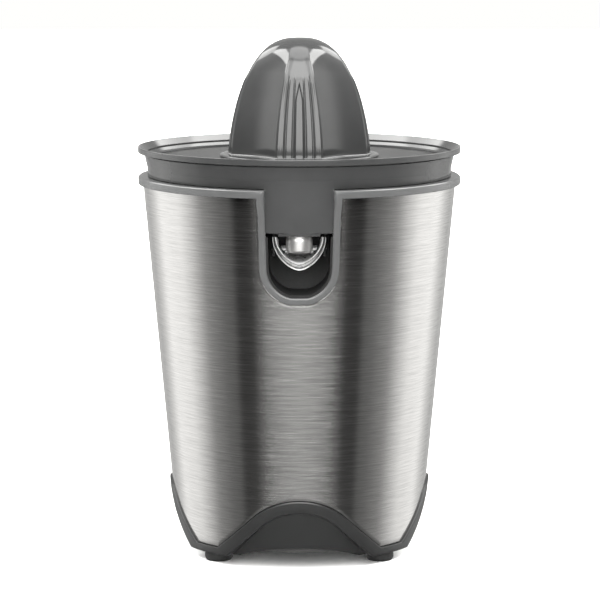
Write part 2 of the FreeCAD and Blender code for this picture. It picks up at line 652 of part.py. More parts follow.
def switch_bracket():
    """Folded bracket under the gearbox: spring seat, lever ears and a cheek for the switch."""
    across, top = ("-bracket_half", "bracket_half"), "bracket_low + 0.6"
    left, right = ("-bracket_half", "sheet - bracket_half"), ("bracket_half - sheet", "bracket_half")
    plate = block("bracket_plate", across, ("bracket_front", "12"), ("bracket_low", "box_low"))
    cheek = block("bracket_cheek", right, ("bracket_front", "6"), ("104", top))
    leg = block("bracket_leg", left, ("-6", "6"), ("seat_high - 1.6", top))
    ear = block("bracket_ear", left, ("bracket_front", "-30"), ("120", top))
    seat = block("bracket_seat", across, ("-6", "6"), ("seat_high - 1.6", "seat_high"))
    solid = joined("bracket_solid", [plate, cheek, leg, ear, seat])
    holes = [cylinder("bracket_shaft_hole", "9.5", "130", "140"),
             lever_axle("bracket_pin_hole", "lever_pin_radius", "20"),
             cylinder("bracket_screw_a", "1.3", "130", "140", "-fixing_x", "fixing_y"),
             cylinder("bracket_screw_b", "1.3", "130", "140", "fixing_x", "fixing_y")]
    return cut("switch_bracket", solid, holes)


def switch_lever():
    """Forked lever: the collar on the shaft pushes its arms down and it presses the switch."""
    beam = block("lever_beam", ("-9", "9"), ("-35.5", "-11"), ("125.6", "128.6"))
    arms = [block("lever_arm_%d" % index, across, ("-12", "5"), ("127", "130.3"))
            for index, across in enumerate((("-9", "-5"), ("5", "9")))]
    barrel = rod("lever_barrel", "X", "3", "-12", "12", y="lever_pivot_y", z="lever_pivot_z")
    solid = joined("lever_solid", [beam, barrel] + arms)
    return cut("switch_lever", solid, [
        lever_axle("lever_bore", "lever_pin_radius + running", "20")])


def return_spring():
    """Closed-end compression spring under the shaft."""
    item = doc.addObject("Part::Feature", "return_spring")
    low, high, wire, coil = number("seat_high"), number("shaft_low"), 0.55, 3.1
    pitch = (high - low - 2 * wire) / 5
    path = Part.makeHelix(pitch, high - low - 2 * wire, coil)
    ring = Part.Wire(Part.makeCircle(wire, V(coil, 0, 0), V(0, coil, pitch / (2 * math.pi))))
    item.Shape = Part.Wire(path).makePipeShell([ring], True, True)
    item.Placement = FreeCAD.Placement(V(0, 0, low + wire), FreeCAD.Rotation())
    return item


# ---------------------------------------------------------------- shaft, cone

def hexagon(across):
    corner = "(%s / sqrt(3))" % across
    return [("%s * cos(%d)" % (corner, 60 * turn), "%s * sin(%d)" % (corner, 60 * turn)) for turn in range(6)]


def drive_shaft():
    """Round shaft, flatted where it slides in the gear and hexagonal where it turns the cone."""
    bar = cut("shaft_round", cylinder("shaft_bar", "shaft_radius", "shaft_low", "shaft_shoulder"), [
        block("shaft_flat", ("3.3", "9"), ("-9", "9"), ("shaft_low - 1", "161.5"))])
    tail = prism("shaft_hex", "XY", hexagon("hex_across"), "shaft_shoulder - 1", "shaft_top")
    return joined("drive_shaft", [bar, tail])


def cone_outline(height):
    """Radius of the cone's ridges at a height over its base."""
    reach = number("cone_radius")
    return reach * (1 - (height / (number("cone_height") + 0.1)) ** 1.6) ** (1 / 2.6)


def cone_section(height, points=48):
    """Closed curve round the cone: four broad ridges with a hollow flute between each two."""
    ridge = cone_outline(height)
    depth = 0.16 * min(1, (1 - height / number("cone_height")) * 4)
    spots = []
    for index in range(points):
        angle = 2 * math.pi * index / points
        off = abs((math.degrees(angle) + 45) % 90 - 45)
        hollow = math.sin(math.pi / 2 * max(0, (off - 16) / 29)) ** 2
        radius = ridge * (1 - depth * hollow)
        spots.append(V(radius * math.cos(angle), radius * math.sin(angle), number("cone_base") + height))
    curve = Part.BSplineCurve()
    curve.interpolate(Points=spots, PeriodicFlag=True)
    return Part.Wire(curve.toShape())


def fluted_shell():
    """Outside of the cone: no sketch holds its section, so it is lofted here from a formula."""
    item = doc.addObject("Part::Feature", "cone_outside")
    steps = (0, 8, 16, 24, 32, 40, 46, 51, 55, 57.4, number("cone_height") - 0.2)
    item.Shape = Part.makeLoft([cone_section(height) for height in steps], True, False)
    item.Placement = FreeCAD.Placement(V(), FreeCAD.Rotation())
    return item


def cone_cavity():
    """Hollow under the flutes, a constant wall inside the deepest part of the section."""
    inset = [(cone_outline(height) * 0.84 - 2.2, height) for height in (0, 12, 24, 36, 46, 52)]
    corners = [("0", "cone_base - 9")] + [("%.3f" % inset[0][0], "cone_base - 9")]
    corners += [("%.3f" % radius, "cone_base + %s" % height) for radius, height in inset[1:]]
    return turned("cone_hollow", corners + [("0", "cone_base + 52")])


def reamer_cone():
    flange = turned("cone_rim", [
        ("20", "cone_base - 1"), ("cone_flange", "cone_base - 1", "1.2"), ("cone_flange", "cone_base + 1"),
        ("20", "cone_base + 1")])
    shell = cut("cone_shell", joined("cone_solid", [fluted_shell(), flange]), [cone_cavity()])
    hub = cylinder("cone_core", "cone_hub", "cone_hub_low", "cone_base + 55")
    tube = cylinder("sleeve_outside", "chimney_radius + 3.2", "sleeve_low", "cone_base + 55")
    sleeve = cut("cone_sleeve", tube, [
        cylinder("sleeve_inside", "chimney_radius + 1.4", "180", "cone_base + 60")])
    inside = shared("cone_inside", [joined("cone_posts", [hub, sleeve]), joined("cone_limit", [
        fluted_copy(), cylinder("cone_below", "20", "180", "cone_base + 1")])])
    seat = cylinder("insert_seat", "insert_radius", "180", "shaft_top + 2")
    return cut("reamer_cone", joined("cone_all", [shell, inside]), [seat])


def fluted_copy():
    item = doc.addObject("Part::Feature", "cone_outside_limit")
    item.Shape = doc.getObject("cone_outside").Shape.copy()
    item.Placement = FreeCAD.Placement(V(), FreeCAD.Rotation())
    return item


def cone_drive_insert():
    core = cylinder("insert_core", "insert_radius", "cone_hub_low", "shaft_top + 2")
    return cut("cone_drive_insert", core, [
        prism("insert_hex", "XY", hexagon("(hex_across + 2 * running)"), "180", "shaft_top + 0.3")])


# ---------------------------------------------------------------- bowl, strainer, spout

def spout_axle(name, radius, half):
    return rod(name, "X", radius, "-%s" % half, half, y="spout_pivot_y", z="spout_pivot_z")


def juice_bowl():
    inside = "bowl_radius - bowl_wall"
    bowl = turned("bowl_turned", [
        ("11", "bowl_low"), ("bowl_radius - 0.6", "bowl_low"), ("bowl_radius", "ring_high + 0.2"),
        ("wall_low_radius - 0.2", "ring_high + 0.3"), ("wall_low_radius", "wall_low"),
        ("wall_top_radius", "lip_low"),
        ("rim_radius - 0.2", "lip_low"), ("rim_radius", "lip_low + 0.2"),
        ("rim_radius", "rim_top - 0.7", "0.7"),
        ("rim_radius - 0.7", "rim_top"), ("rim_radius - 2.2", "rim_top"), ("76.2", "199"),
        ("ledge_radius", "196.6"), ("ledge_radius", "ledge"), ("72.8", "ledge"), (inside, "192.5"),
        (inside, "bowl_floor + 1.5"), ("%s - 1.5" % inside, "bowl_floor"),
        ("chimney_radius", "bowl_floor"), ("chimney_radius", "chimney_top"), ("11", "chimney_top")])
    skin = shared("panel_skin", [
        cut("panel_ring", cylinder("panel_outside", "wall_low_radius", "panel_bottom", "wall_low"), [
            cylinder("panel_inside", "73", "0", "240")]),
        window("panel_outline", "(frame_width + 0.25)")])
    chute = shared("chute_block", [
        block("chute_box", ("-chute_half", "chute_half"), ("-78", "-52.2"), ("chute_bottom", "bowl_floor")),
        cylinder("chute_limit", "76", "100", "240")])
    pocket = shared("chute_pocket", [
        block("pocket_box", ("-chute_half + chute_wall", "chute_half - chute_wall"), ("-90", "-54"),
              ("chute_bottom + chute_wall", "186")),
        cylinder("pocket_limit", "bowl_radius - bowl_wall", "100", "240")])
    ears = [block("hinge_ear_%d" % index, across, ("spout_pivot_y - 3.4", "spout_pivot_y + 3.4"),
                  ("spout_pivot_z - 3.2", "bowl_low + 1"))
            for index, across in enumerate((("-ear_outer", "-ear_inner"), ("ear_inner", "ear_outer")))]
    drains = [cylinder("nozzle_hole", "nozzle_tail", "150", "170", "0", "nozzle_y"),
              spout_axle("hinge_hole", "spout_pin_radius", "20")]
    return cut("juice_bowl", joined("bowl_solid", [bowl, skin, chute] + ears), [pocket] + drains)


def outlet_nozzle():
    return turned("outlet_nozzle", [
        ("nozzle_bore", "nozzle_bottom"), ("nozzle_radius - 0.5", "nozzle_bottom"),
        ("nozzle_radius", "nozzle_bottom + 1"), ("nozzle_radius", "chute_bottom"),
        ("nozzle_tail", "chute_bottom"), ("nozzle_tail", "chute_bottom + chute_wall"),
        ("nozzle_bore", "chute_bottom + chute_wall")], "0", "nozzle_y")


def nozzle_seal():
    """Rubber lip under the nozzle; the raised spout closes against it."""
    return turned("nozzle_seal", [
        ("nozzle_bore - 0.4", "nozzle_bottom - seal_height"),
        ("nozzle_bore + 0.8", "nozzle_bottom - seal_height"),
        ("nozzle_bore + 1.8", "nozzle_bottom - 0.2"), ("nozzle_bore + 1.9", "nozzle_bottom"),
        ("nozzle_bore - 0.4", "nozzle_bottom")], "0", "nozzle_y")


def pulp_strainer():
    """Shallow dish with two rings of juice slots, resting on the ledge of the bowl."""
    low = "strainer_floor"
    dish = turned("pulp_strainer", [
        ("strainer_hub", low), ("66.5", low), ("71.8", "ledge"), ("strainer_radius", "ledge"),
        ("strainer_radius", "ledge + 1.2", "0.7"), ("strainer_radius - 0.7", "ledge + 1.9"),
        ("70.8", "ledge + 1.9"), ("65.6", "strainer_floor + strainer_wall"),
        ("strainer_hub + 1.8", "strainer_floor + strainer_wall"),
        ("strainer_hub + 1.8", "hub_high"), ("strainer_hub", "hub_high")])
    bend = "juice_slot_half + 0.2"
    for start, stop, count in (("24", "40", 24), ("45", "62", 48)):
        corners = [(start, "-juice_slot_half"), (stop, "-juice_slot_half", bend), (stop, "juice_slot_half"),
                   (start, "juice_slot_half", bend)]
        slotted(dish, corners, low + " - 1", low + " + 3", count)
    return dish


def scoop(name, front, half, low, inset):
    """Loft of a deep U at the front into a shallower one at the back."""
    body = doc.addObject("PartDesign::Body", name)
    back = "spout_pivot_y"
    sections = (
        (front, half, low, "spout_top + %s" % inset),
        (back, "%s - 2.2" % half, "%s + spout_rise" % low, "spout_top - 3 + %s" % inset))
    sketches = []
    for deep, side, bottom, top in sections:
        corners = [("-(%s)" % side, top), ("-(%s) * 0.56" % side, "%s + 2.6" % bottom), ("-2.4", bottom),
                   ("2.4", bottom), ("(%s) * 0.56" % side, "%s + 2.6" % bottom), (side, top)]
        sketches.append(new_sketch(body, "XZ_Plane", corners, "-(%s)" % deep))
    doc.recompute()
    loft = body.newObject("PartDesign::AdditiveLoft", name + "_loft")
    loft.Profile = sketches[0]
    loft.Sections = sketches[1:]
    loft.Ruled = True
    return put(body)


def drip_spout():
    outside = scoop("scoop_outside", "spout_front", "spout_half", "spout_low", "0")
    inside = scoop("scoop_inside", "spout_front - 1", "spout_half - spout_wall", "spout_low + spout_wall",
                   "0.5")
    back = block("scoop_back", ("-12", "12"), ("spout_pivot_y - barrel_radius", "spout_pivot_y + 5"),
                 ("100", "200"))
    trough = cut("scoop_trough", outside, [cut("scoop_hollow", inside, [back])])
    barrel = spout_axle("scoop_barrel", "barrel_radius", "11")
    return cut("drip_spout", joined("scoop_solid", [trough, barrel]), [
        spout_axle("scoop_bore", "spout_pin_radius + running", "20")])


# ---------------------------------------------------------------- assembly

GEARBOX_EARS = (("38.4", "6.8"), ("8.5", "38.2"), ("19.5", "-33.8"), ("-43", "-10"))


def build_casing():
    outer_shell()
    trim_ring()
    spout_recess()
    inner_housing()
    base_skirt()
    bottom_cover()
    for side, x in (("left", "-foot_x"), ("right", "foot_x")):
        for end, y in (("front", "-foot_y"), ("back", "foot_y")):
            rubber_foot("foot_%s_%s" % (end, side), x, y)
    base_screws()
    cord_gland()
    cord_clamp()
    terminal_block()


def build_gearbox():
    gearbox_lower()
    gearbox_upper()
    group("gearbox_screws", [
        screw("gearbox_screw_%d" % index, x, y, "box_low - 2.4", "box_low", "deck_low - 1")
        for index, (x, y) in enumerate(GEARBOX_EARS)])
    bush("output_bush_lower", "journal_radius + running", "bush_radius", "box_low", "140.6")
    bush("output_bush_upper", "journal_radius + running", "bush_radius", "box_high", "lid_high + 2")
    bush("deck_bush", "shaft_radius + running", "deck_bore", "deck_boss_low", "deck_boss_low + 8")
    bush("shaft_seal", "shaft_radius + running", "deck_bore", "collar_top - 7", "collar_top - 1")
    x, y = spot_text(idler_spot())
    cylinder("idler_pin", "idler_pin_radius", "136", "161", x, y)
    output_gear()
    idler_gear()


def build_motor():
    x, y = spot_text(motor_spot())
    motor_stator()
    motor_coil()
    motor_bracket("motor_bracket_upper", "98.4", "101.4", "stack_high", "100")
    motor_bracket("motor_bracket_lower", "56.6", "59.6", "58", "stack_low")
    group("motor_bearings", [
        bush("bearing_upper", "motor_shaft_radius + running", "bearing_radius", "97", "103", x, y),
        bush("bearing_lower", "motor_shaft_radius + running", "bearing_radius", "55", "61", x, y)])
    group("motor_pillars", [
        cylinder("pillar_%d" % index, "pillar_radius", "101.4", "box_low",
                 "%s %s pillar_x" % (x, side), "%s + 3" % y)
        for index, side in enumerate("-+")])
    cylinder("rotor_shaft", "motor_shaft_radius", "motor_shaft_low", "motor_pinion_high + 0.6", x, y)
    bush("rotor_core", "motor_shaft_radius", "rotor_radius", "stack_low", "stack_high", x, y)
    motor_pinion()
    cooling_fan()


def build_switch():
    switch_bracket()
    group("bracket_screws", [
        screw("bracket_fixing_%d" % index, x, "fixing_y", "bracket_low - 1.6", "bracket_low", "137.6",
              "1.25", "1.6")
        for index, x in enumerate(("-fixing_x", "fixing_x"))])
    lever_axle("lever_pin", "lever_pin_radius", "15")
    switch_lever()
    cut("micro_switch", block("switch_body", ("2.4", "12.6"), ("-29", "-9"), ("104", "118")), [
        cylinder("switch_hole", "plunger_radius + running", "112", "130", "plunger_x", "plunger_y")])
    cylinder("switch_plunger", "plunger_radius", "114", "125.3", "plunger_x", "plunger_y")
    return_spring()
    bush("shaft_clip", "shaft_radius", "7", "collar_low", "132.2")


def build_top():
    drive_shaft()
    reamer_cone()
    cone_drive_insert()
    juice_bowl()
    outlet_nozzle()
    nozzle_seal()
    spout_axle("spout_pin", "spout_pin_radius", "ear_outer")
    pulp_strainer()
    drip_spout()


NODES = """
    outer_shell trim_ring spout_recess inner_housing base_skirt bottom_cover foot_front_left
    foot_front_right foot_back_left foot_back_right base_screws cord_gland cord_clamp terminal_block
    gearbox_lower gearbox_upper gearbox_screws output_bush_lower output_bush_upper deck_bush
    shaft_seal idler_pin output_gear idler_gear motor_stator motor_coil motor_bracket_upper
    motor_bracket_lower motor_bearings motor_pillars rotor_shaft rotor_core motor_pinion cooling_fan
    switch_bracket bracket_screws lever_pin switch_lever micro_switch switch_plunger return_spring
    shaft_clip drive_shaft reamer_cone cone_drive_insert juice_bowl outlet_nozzle nozzle_seal
    spout_pin pulp_strainer drip_spout
""".split()

build_casing()
build_gearbox()
build_motor()
build_switch()
build_top()
doc.recompute()

for item in doc.Objects:
    if "Invalid" in item.State or "Error" in item.State:
        raise RuntimeError("%s did not compute: %s" % (item.Label, item.State))

os.makedirs("parts", exist_ok=True)
for name in NODES:
    shape = doc.getObjectsByLabel(name)[0].Shape
    if shape.isNull() or not shape.isValid():
        raise RuntimeError("%s has no valid shape" % name)
    shape.exportStep("parts/%s.step" % name)
    box = shape.BoundBox
    print("%-22s %2d solids %9.0f mm3  z %6.1f to %6.1f" % (
        name, len(shape.Solids), shape.Volume, box.ZMin, box.ZMax))
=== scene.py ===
import json
import math

import bmesh
import bpy
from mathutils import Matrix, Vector


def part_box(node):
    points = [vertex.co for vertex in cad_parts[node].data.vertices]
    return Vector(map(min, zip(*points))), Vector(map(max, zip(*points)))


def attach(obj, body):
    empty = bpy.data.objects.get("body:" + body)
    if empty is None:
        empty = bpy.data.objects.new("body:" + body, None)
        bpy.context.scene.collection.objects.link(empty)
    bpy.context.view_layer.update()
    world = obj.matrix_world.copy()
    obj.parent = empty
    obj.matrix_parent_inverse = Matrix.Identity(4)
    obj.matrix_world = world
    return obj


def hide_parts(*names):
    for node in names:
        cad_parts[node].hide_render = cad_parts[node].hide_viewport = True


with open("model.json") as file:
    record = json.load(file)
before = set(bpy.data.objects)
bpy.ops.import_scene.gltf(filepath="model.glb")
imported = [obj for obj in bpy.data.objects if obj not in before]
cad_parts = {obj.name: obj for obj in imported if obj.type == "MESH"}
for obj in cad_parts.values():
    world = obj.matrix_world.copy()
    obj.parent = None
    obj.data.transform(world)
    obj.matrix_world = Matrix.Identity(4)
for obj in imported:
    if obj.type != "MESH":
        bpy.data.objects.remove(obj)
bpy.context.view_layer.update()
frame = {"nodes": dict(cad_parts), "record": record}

# Lengths in this script are millimetres until a mesh is made.  Angles round the drum are measured
# from its front, which looks towards -Y.
MM = 0.001


def span(node, axis):
    """Lowest and highest value of a CAD node along an axis, in millimetres."""
    low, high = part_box(node)
    return low[axis] / MM, high[axis] / MM


# ------------------------------------------------------------------ sizes

SHELL_LOW, SHELL_HIGH = span("outer_shell", 2)
SHELL_TOP_RADIUS = 78.12
SHELL_SLOPE = 0.0903
STEEL_WALL = 0.8

RING_LOW, RING_HIGH = SHELL_HIGH, span("trim_ring", 2)[1]
RING_RADIUS, RING_BORE = 80.65, 74.4
FRAME_PROUD, FRAME_DEPTH, FRAME_WIDTH = 0.8, 0.7, 3.3
WINDOW_BOTTOM = span("trim_ring", 2)[0]
WINDOW_TURN, WINDOW_HALF, WINDOW_FLARE, WINDOW_FLAT = 150.0, 19.1, 0.031, 4.0
WINDOW_MIDDLE = 165.0

SKIRT_LOW, SKIRT_HIGH = span("base_skirt", 2)
SKIRT_PROUD, BAND_WIDTH = 1.25, 5.8
ARCH_TOP, FRONT_ARCH, SIDE_ARCH = 35.2, 31.9, 24.0
SCALLOP_TOP, FRONT_SCALLOP, SIDE_SCALLOP = 10.5, 90.0, 80.0
ARCH_MIDDLE, FOOT_RADIUS, STEEL_GAP = 20.0, 61.0, 0.4
SUNK_RADIUS, SUNK_LEAN, SUNK_START = 57.7, 0.3, 6.0
CORD_HOLE, CORD_HEIGHT = 5.0, 19.0

BOWL_LOW, RIM_TOP = 173.5, span("juice_bowl", 2)[1]
RIM_RADIUS, LIP_LOW = 80.65, 200.02
PANEL_RADIUS, PANEL_BACK, PANEL_BOTTOM = 76.0, 73.3, 167.3
PANEL_ANGLE, WALL_FOOT, GROOVE_RADIUS = 12.7, 188.5, 76.7
NOZZLE_Y, HINGE_Y, HINGE_Z = -66.0, -56.0, 157.5
CONE_BASE, CONE_TOP = 198.0, span("reamer_cone", 2)[1]
CONE_RADIUS, CONE_FLANGE, CONE_FILLET, RIDGE_HALF = 35.2, 39.9, 1.3, 19.6


def shell_radius(z):
    """Outer radius of the tapered drum at a height."""
    return SHELL_TOP_RADIUS - SHELL_SLOPE * (SHELL_HIGH - z)


def smooth(value):
    """Eased 0 to 1, held outside that range."""
    value = min(1.0, max(0.0, value))
    return value * value * (3 - 2 * value)


# ------------------------------------------------------------------ mesh building

def on_drum(angle, radius, z):
    """Point at an angle from the front, in degrees."""
    turn = math.radians(angle)
    return (radius * math.sin(turn), -radius * math.cos(turn), z)


def grid_faces(rows, columns, wrap_rows, wrap_columns, start):
    """Four-sided faces between neighbouring points of a grid."""
    faces = []
    for row in range(rows if wrap_rows else rows - 1):
        for column in range(columns if wrap_columns else columns - 1):
            a = start + row * columns + column
            b = start + row * columns + (column + 1) % columns
            c = start + (row + 1) % rows * columns + (column + 1) % columns
            d = start + (row + 1) % rows * columns + column
            faces.append((a, b, c, d))
    return faces


class Shape:
    """Vertices and faces of one piece, gathered from several closed shells."""

    def __init__(self):
        self.points, self.faces = [], []

    def grid(self, rows, wrap_rows=False, wrap_columns=False, cap_first=False, cap_last=False):
        start, columns = len(self.points), len(rows[0])
        for row in rows:
            self.points.extend(row)
        self.faces += grid_faces(len(rows), columns, wrap_rows, wrap_columns, start)
        if cap_first:
            self.faces.append(tuple(start + index for index in reversed(range(columns))))
        if cap_last:
            last = start + (len(rows) - 1) * columns
            self.faces.append(tuple(last + index for index in range(columns)))

    def turn(self, profile, x=0.0, y=0.0, segments=96):
        """Closed (radius, height) profile turned about the vertical through x, y."""
        rows = []
        for step in range(segments):
            angle = 2 * math.pi * step / segments
            rows.append([(x + r * math.cos(angle), y + r * math.sin(angle), z) for r, z in profile])
        self.grid(rows, wrap_rows=True, wrap_columns=True)

    def box(self, low, high, bevel):
        """Box with rounded edges."""
        work = bmesh.new()
        bmesh.ops.create_cube(work, size=1.0)
        for vertex in work.verts:
            vertex.co = Vector([low[i] + (vertex.co[i] + 0.5) * (high[i] - low[i]) for i in range(3)])
        bmesh.ops.bevel(work, geom=work.edges[:], offset=bevel, segments=3, affect="EDGES", profile=0.5)
        start = len(self.points)
        work.verts.index_update()
        self.points += [tuple(vertex.co) for vertex in work.verts]
        self.faces += [tuple(start + vertex.index for vertex in face.verts) for face in work.faces]
        work.free()


def rounded(corners, steps=4):
    """Closed outline with arcs in its corners.  Each corner is (across, up, radius)."""
    outline = []
    for index, (x, y, radius) in enumerate(corners):
        here = Vector((x, y))
        back = Vector(corners[index - 1][:2]) - here
        ahead = Vector(corners[(index + 1) % len(corners)][:2]) - here
        if not radius:
            outline.append((x, y))
            continue
        half = back.angle(ahead) / 2
        reach = min(radius / math.tan(half), back.length * 0.49, ahead.length * 0.49)
        start, stop = here + back.normalized() * reach, here + ahead.normalized() * reach
        for step in range(steps + 1):
            share = step / steps
            point = (1 - share) ** 2 * start + 2 * share * (1 - share) * here + share ** 2 * stop
            outline.append((point.x, point.y))
    return outline


def finish_mesh(mesh, sharp=35.0):
    """Merges doubled points, turns faces outwards and shades smooth up to the sharp angle."""
    work = bmesh.new()
    work.from_mesh(mesh)
    bmesh.ops.remove_doubles(work, verts=work.verts, dist=2e-6)
    bmesh.ops.dissolve_degenerate(work, dist=1e-6, edges=work.edges)
    bmesh.ops.recalc_face_normals(work, faces=work.faces)
    work.to_mesh(mesh)
    work.free()
    for face in mesh.polygons:
        face.use_smooth = True
    mesh.set_sharp_from_angle(angle=math.radians(sharp))


def make_object(name, shape, sharp=35.0):
    """Object in metres from a shape in millimetres."""
    mesh = bpy.data.meshes.new(name)
    mesh.from_pydata([[v * MM for v in point] for point in shape.points], [], shape.faces)
    mesh.update()
    finish_mesh(mesh, sharp)
    piece = bpy.data.objects.new(name, mesh)
    bpy.context.scene.collection.objects.link(piece)
    return piece


def carve(piece, cutter_shape, sharp=35.0):
    """Cuts a closed shape out of a piece and applies the result to its mesh."""
    cutter = make_object(piece.name + "_cutter", cutter_shape)
    modifier = piece.modifiers.new("carve", "BOOLEAN")
    modifier.operation, modifier.solver, modifier.object = "DIFFERENCE", "EXACT", cutter
    bpy.context.view_layer.update()
    result = bpy.data.meshes.new_from_object(piece.evaluated_get(bpy.context.evaluated_depsgraph_get()))
    piece.modifiers.remove(modifier)
    old, piece.data = piece.data, result
    bpy.data.meshes.remove(old)
    bpy.data.objects.remove(cutter)
    finish_mesh(result, sharp)


def join(pieces):
    """One object from several, in the first one's name."""
    merged = bmesh.new()
    for piece in pieces:
        merged.from_mesh(piece.data)
    first = pieces[0]
    merged.to_mesh(first.data)
    merged.free()
    for piece in pieces[1:]:
        bpy.data.objects.remove(piece)
    finish_mesh(first.data)
    return first


def settle(piece, body, material, slot, *nodes):
    """Gives a finished piece its material and its body, and hides the CAD nodes that it stands for."""
    piece.data.materials.clear()
    piece.data.materials.append(material)
    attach(piece, body)
    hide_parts(*nodes)


# ------------------------------------------------------------------ materials

class Paint:
    """A Principled material with procedural colour, roughness and bump."""

    def __init__(self, name, **values):
        self.material = bpy.data.materials.new(name)
        self.material.use_nodes = True
        self.tree = self.material.node_tree
        self.shader = self.tree.nodes["Principled BSDF"]
        for key, value in values.items():
            self.shader.inputs[key.replace("_", " ")].default_value = value

    def node(self, kind, **values):
        node = self.tree.nodes.new(kind)
        for key, value in values.items():
            setattr(node, key, value)
        return node

    def wire(self, source, target):
        self.tree.links.new(source, target)

    def place(self, stretch=(1.0, 1.0, 1.0)):
        """Object coordinates, stretched."""
        coordinates = self.node("ShaderNodeTexCoord")
        mapping = self.node("ShaderNodeMapping")
        mapping.inputs["Scale"].default_value = stretch
        self.wire(coordinates.outputs["Object"], mapping.inputs["Vector"])
        return mapping.outputs["Vector"]

    def around(self, along, up):
        """Coordinates that run round the drum and up it: grain in them follows the brushing."""
        coordinates = self.node("ShaderNodeTexCoord")
        parts = self.node("ShaderNodeSeparateXYZ")
        angle = self.node("ShaderNodeMath", operation="ARCTAN2")
        rolled = self.node("ShaderNodeCombineXYZ")
        mapping = self.node("ShaderNodeMapping")
        mapping.inputs["Scale"].default_value = (along, up, 1.0)
        self.wire(coordinates.outputs["Object"], parts.inputs[0])
        self.wire(parts.outputs["X"], angle.inputs[0])
        flipped = self.node("ShaderNodeMath", operation="MULTIPLY")
        flipped.inputs[1].default_value = -1.0
        self.wire(parts.outputs["Y"], flipped.inputs[0])
        self.wire(flipped.outputs[0], angle.inputs[1])
        self.wire(angle.outputs[0], rolled.inputs["X"])
        self.wire(parts.outputs["Z"], rolled.inputs["Y"])
        self.wire(rolled.outputs[0], mapping.inputs["Vector"])
        return mapping.outputs["Vector"]

    def noise(self, vector, scale, detail=4.0, rough=0.55):
        noise = self.node("ShaderNodeTexNoise")
        noise.inputs["Scale"].default_value = scale
        noise.inputs["Detail"].default_value = detail
        noise.inputs["Roughness"].default_value = rough
        self.wire(vector, noise.inputs["Vector"])
        return noise.outputs["Fac"]

    def ramp(self, factor, stops):
        ramp = self.node("ShaderNodeValToRGB")
        elements = ramp.color_ramp.elements
        while len(elements) < len(stops):
            elements.new(0.5)
        for element, (position, colour) in zip(elements, stops):
            element.position = position
            element.color = colour if len(colour) == 4 else (*colour, 1.0)
        self.wire(factor, ramp.inputs["Fac"])
        return ramp.outputs["Color"]

    def colour(self, factor, dark, light):
        self.wire(self.ramp(factor, [(0.3, dark), (0.7, light)]), self.shader.inputs["Base Color"])

    def roughness(self, factor, low, high):
        spread = self.node("ShaderNodeMapRange")
        spread.inputs["From Min"].default_value = 0.3
        spread.inputs["From Max"].default_value = 0.7
        spread.inputs["To Min"].default_value = low
        spread.inputs["To Max"].default_value = high
        self.wire(factor, spread.inputs["Value"])
        self.wire(spread.outputs[0], self.shader.inputs["Roughness"])

    def bump(self, factor, strength, distance):
        bump = self.node("ShaderNodeBump")
        bump.inputs["Strength"].default_value = strength
        bump.inputs["Distance"].default_value = distance
        self.wire(factor, bump.inputs["Height"])
        self.wire(bump.outputs[0], self.shader.inputs["Normal"])


def grey(level, warm=0.0):
    """Grey of one level, warm above zero and cool below."""
    return (level * (1 + warm), level, level * (1 - warm))


def moulded(name, level, gloss, texture=0.15, warm=-0.01, grain=2200.0, **extra):
    """Moulded plastic: slight flow mottling, a fine skin and uneven polish."""
    paint = Paint(name, Metallic=0.0, IOR=1.5, **extra)
    flow = paint.noise(paint.place(), 60.0, 3.0)
    skin = paint.noise(paint.place(), grain, 2.0, 0.6)
    paint.colour(flow, grey(level * 0.94, warm), grey(level * 1.06, warm))
    paint.roughness(skin, gloss * 0.88, gloss * 1.15)
    paint.bump(skin, texture, 0.00003)
    return paint.material


def brushed_steel():
    """Steel sheet brushed round the drum: long fine scratches that blur reflections up and down."""
    paint = Paint("brushed_steel", Metallic=1.0, Anisotropic=0.85, Anisotropic_Rotation=0.25)
    fine = paint.noise(paint.around(6.0, 3600.0), 1.0, 3.0, 0.6)
    long = paint.noise(paint.around(1.8, 1300.0), 1.0, 3.0, 0.55)
    blend = paint.node("ShaderNodeMath", operation="MULTIPLY_ADD")
    blend.inputs[1].default_value = 0.6
    paint.wire(fine, blend.inputs[0])
    half = paint.node("ShaderNodeMath", operation="MULTIPLY")
    half.inputs[1].default_value = 0.4
    paint.wire(long, half.inputs[0])
    paint.wire(half.outputs[0], blend.inputs[2])
    paint.colour(blend.outputs[0], grey(0.46, 0.014), grey(0.72, 0.014))
    paint.roughness(blend.outputs[0], 0.17, 0.25)
    paint.bump(blend.outputs[0], 0.26, 0.00002)
    tangent = paint.node("ShaderNodeTangent", direction_type="RADIAL", axis="Z")
    paint.wire(tangent.outputs[0], paint.shader.inputs["Tangent"])
    return paint.material


def metal(name, level, rough, warm=0.0, scale=900.0):
    """Plain machined or drawn metal with faint tool marks."""
    paint = Paint(name, Metallic=1.0)
    marks = paint.noise(paint.place((1.0, 1.0, 6.0)), scale, 3.0)
    paint.colour(marks, grey(level * 0.9, warm), grey(level * 1.05, warm))
    paint.roughness(marks, rough * 0.8, rough * 1.25)
    paint.bump(marks, 0.1, 0.00002)
    return paint.material


def rubber(name, level):
    """Dull rubber with a fine grain."""
    paint = Paint(name, Metallic=0.0, IOR=1.45)
    grain = paint.noise(paint.place(), 1800.0, 3.0)
    paint.colour(grain, grey(level * 0.8), grey(level * 1.3))
    paint.roughness(grain, 0.5, 0.72)
    paint.bump(grain, 0.35, 0.00005)
    return paint.material


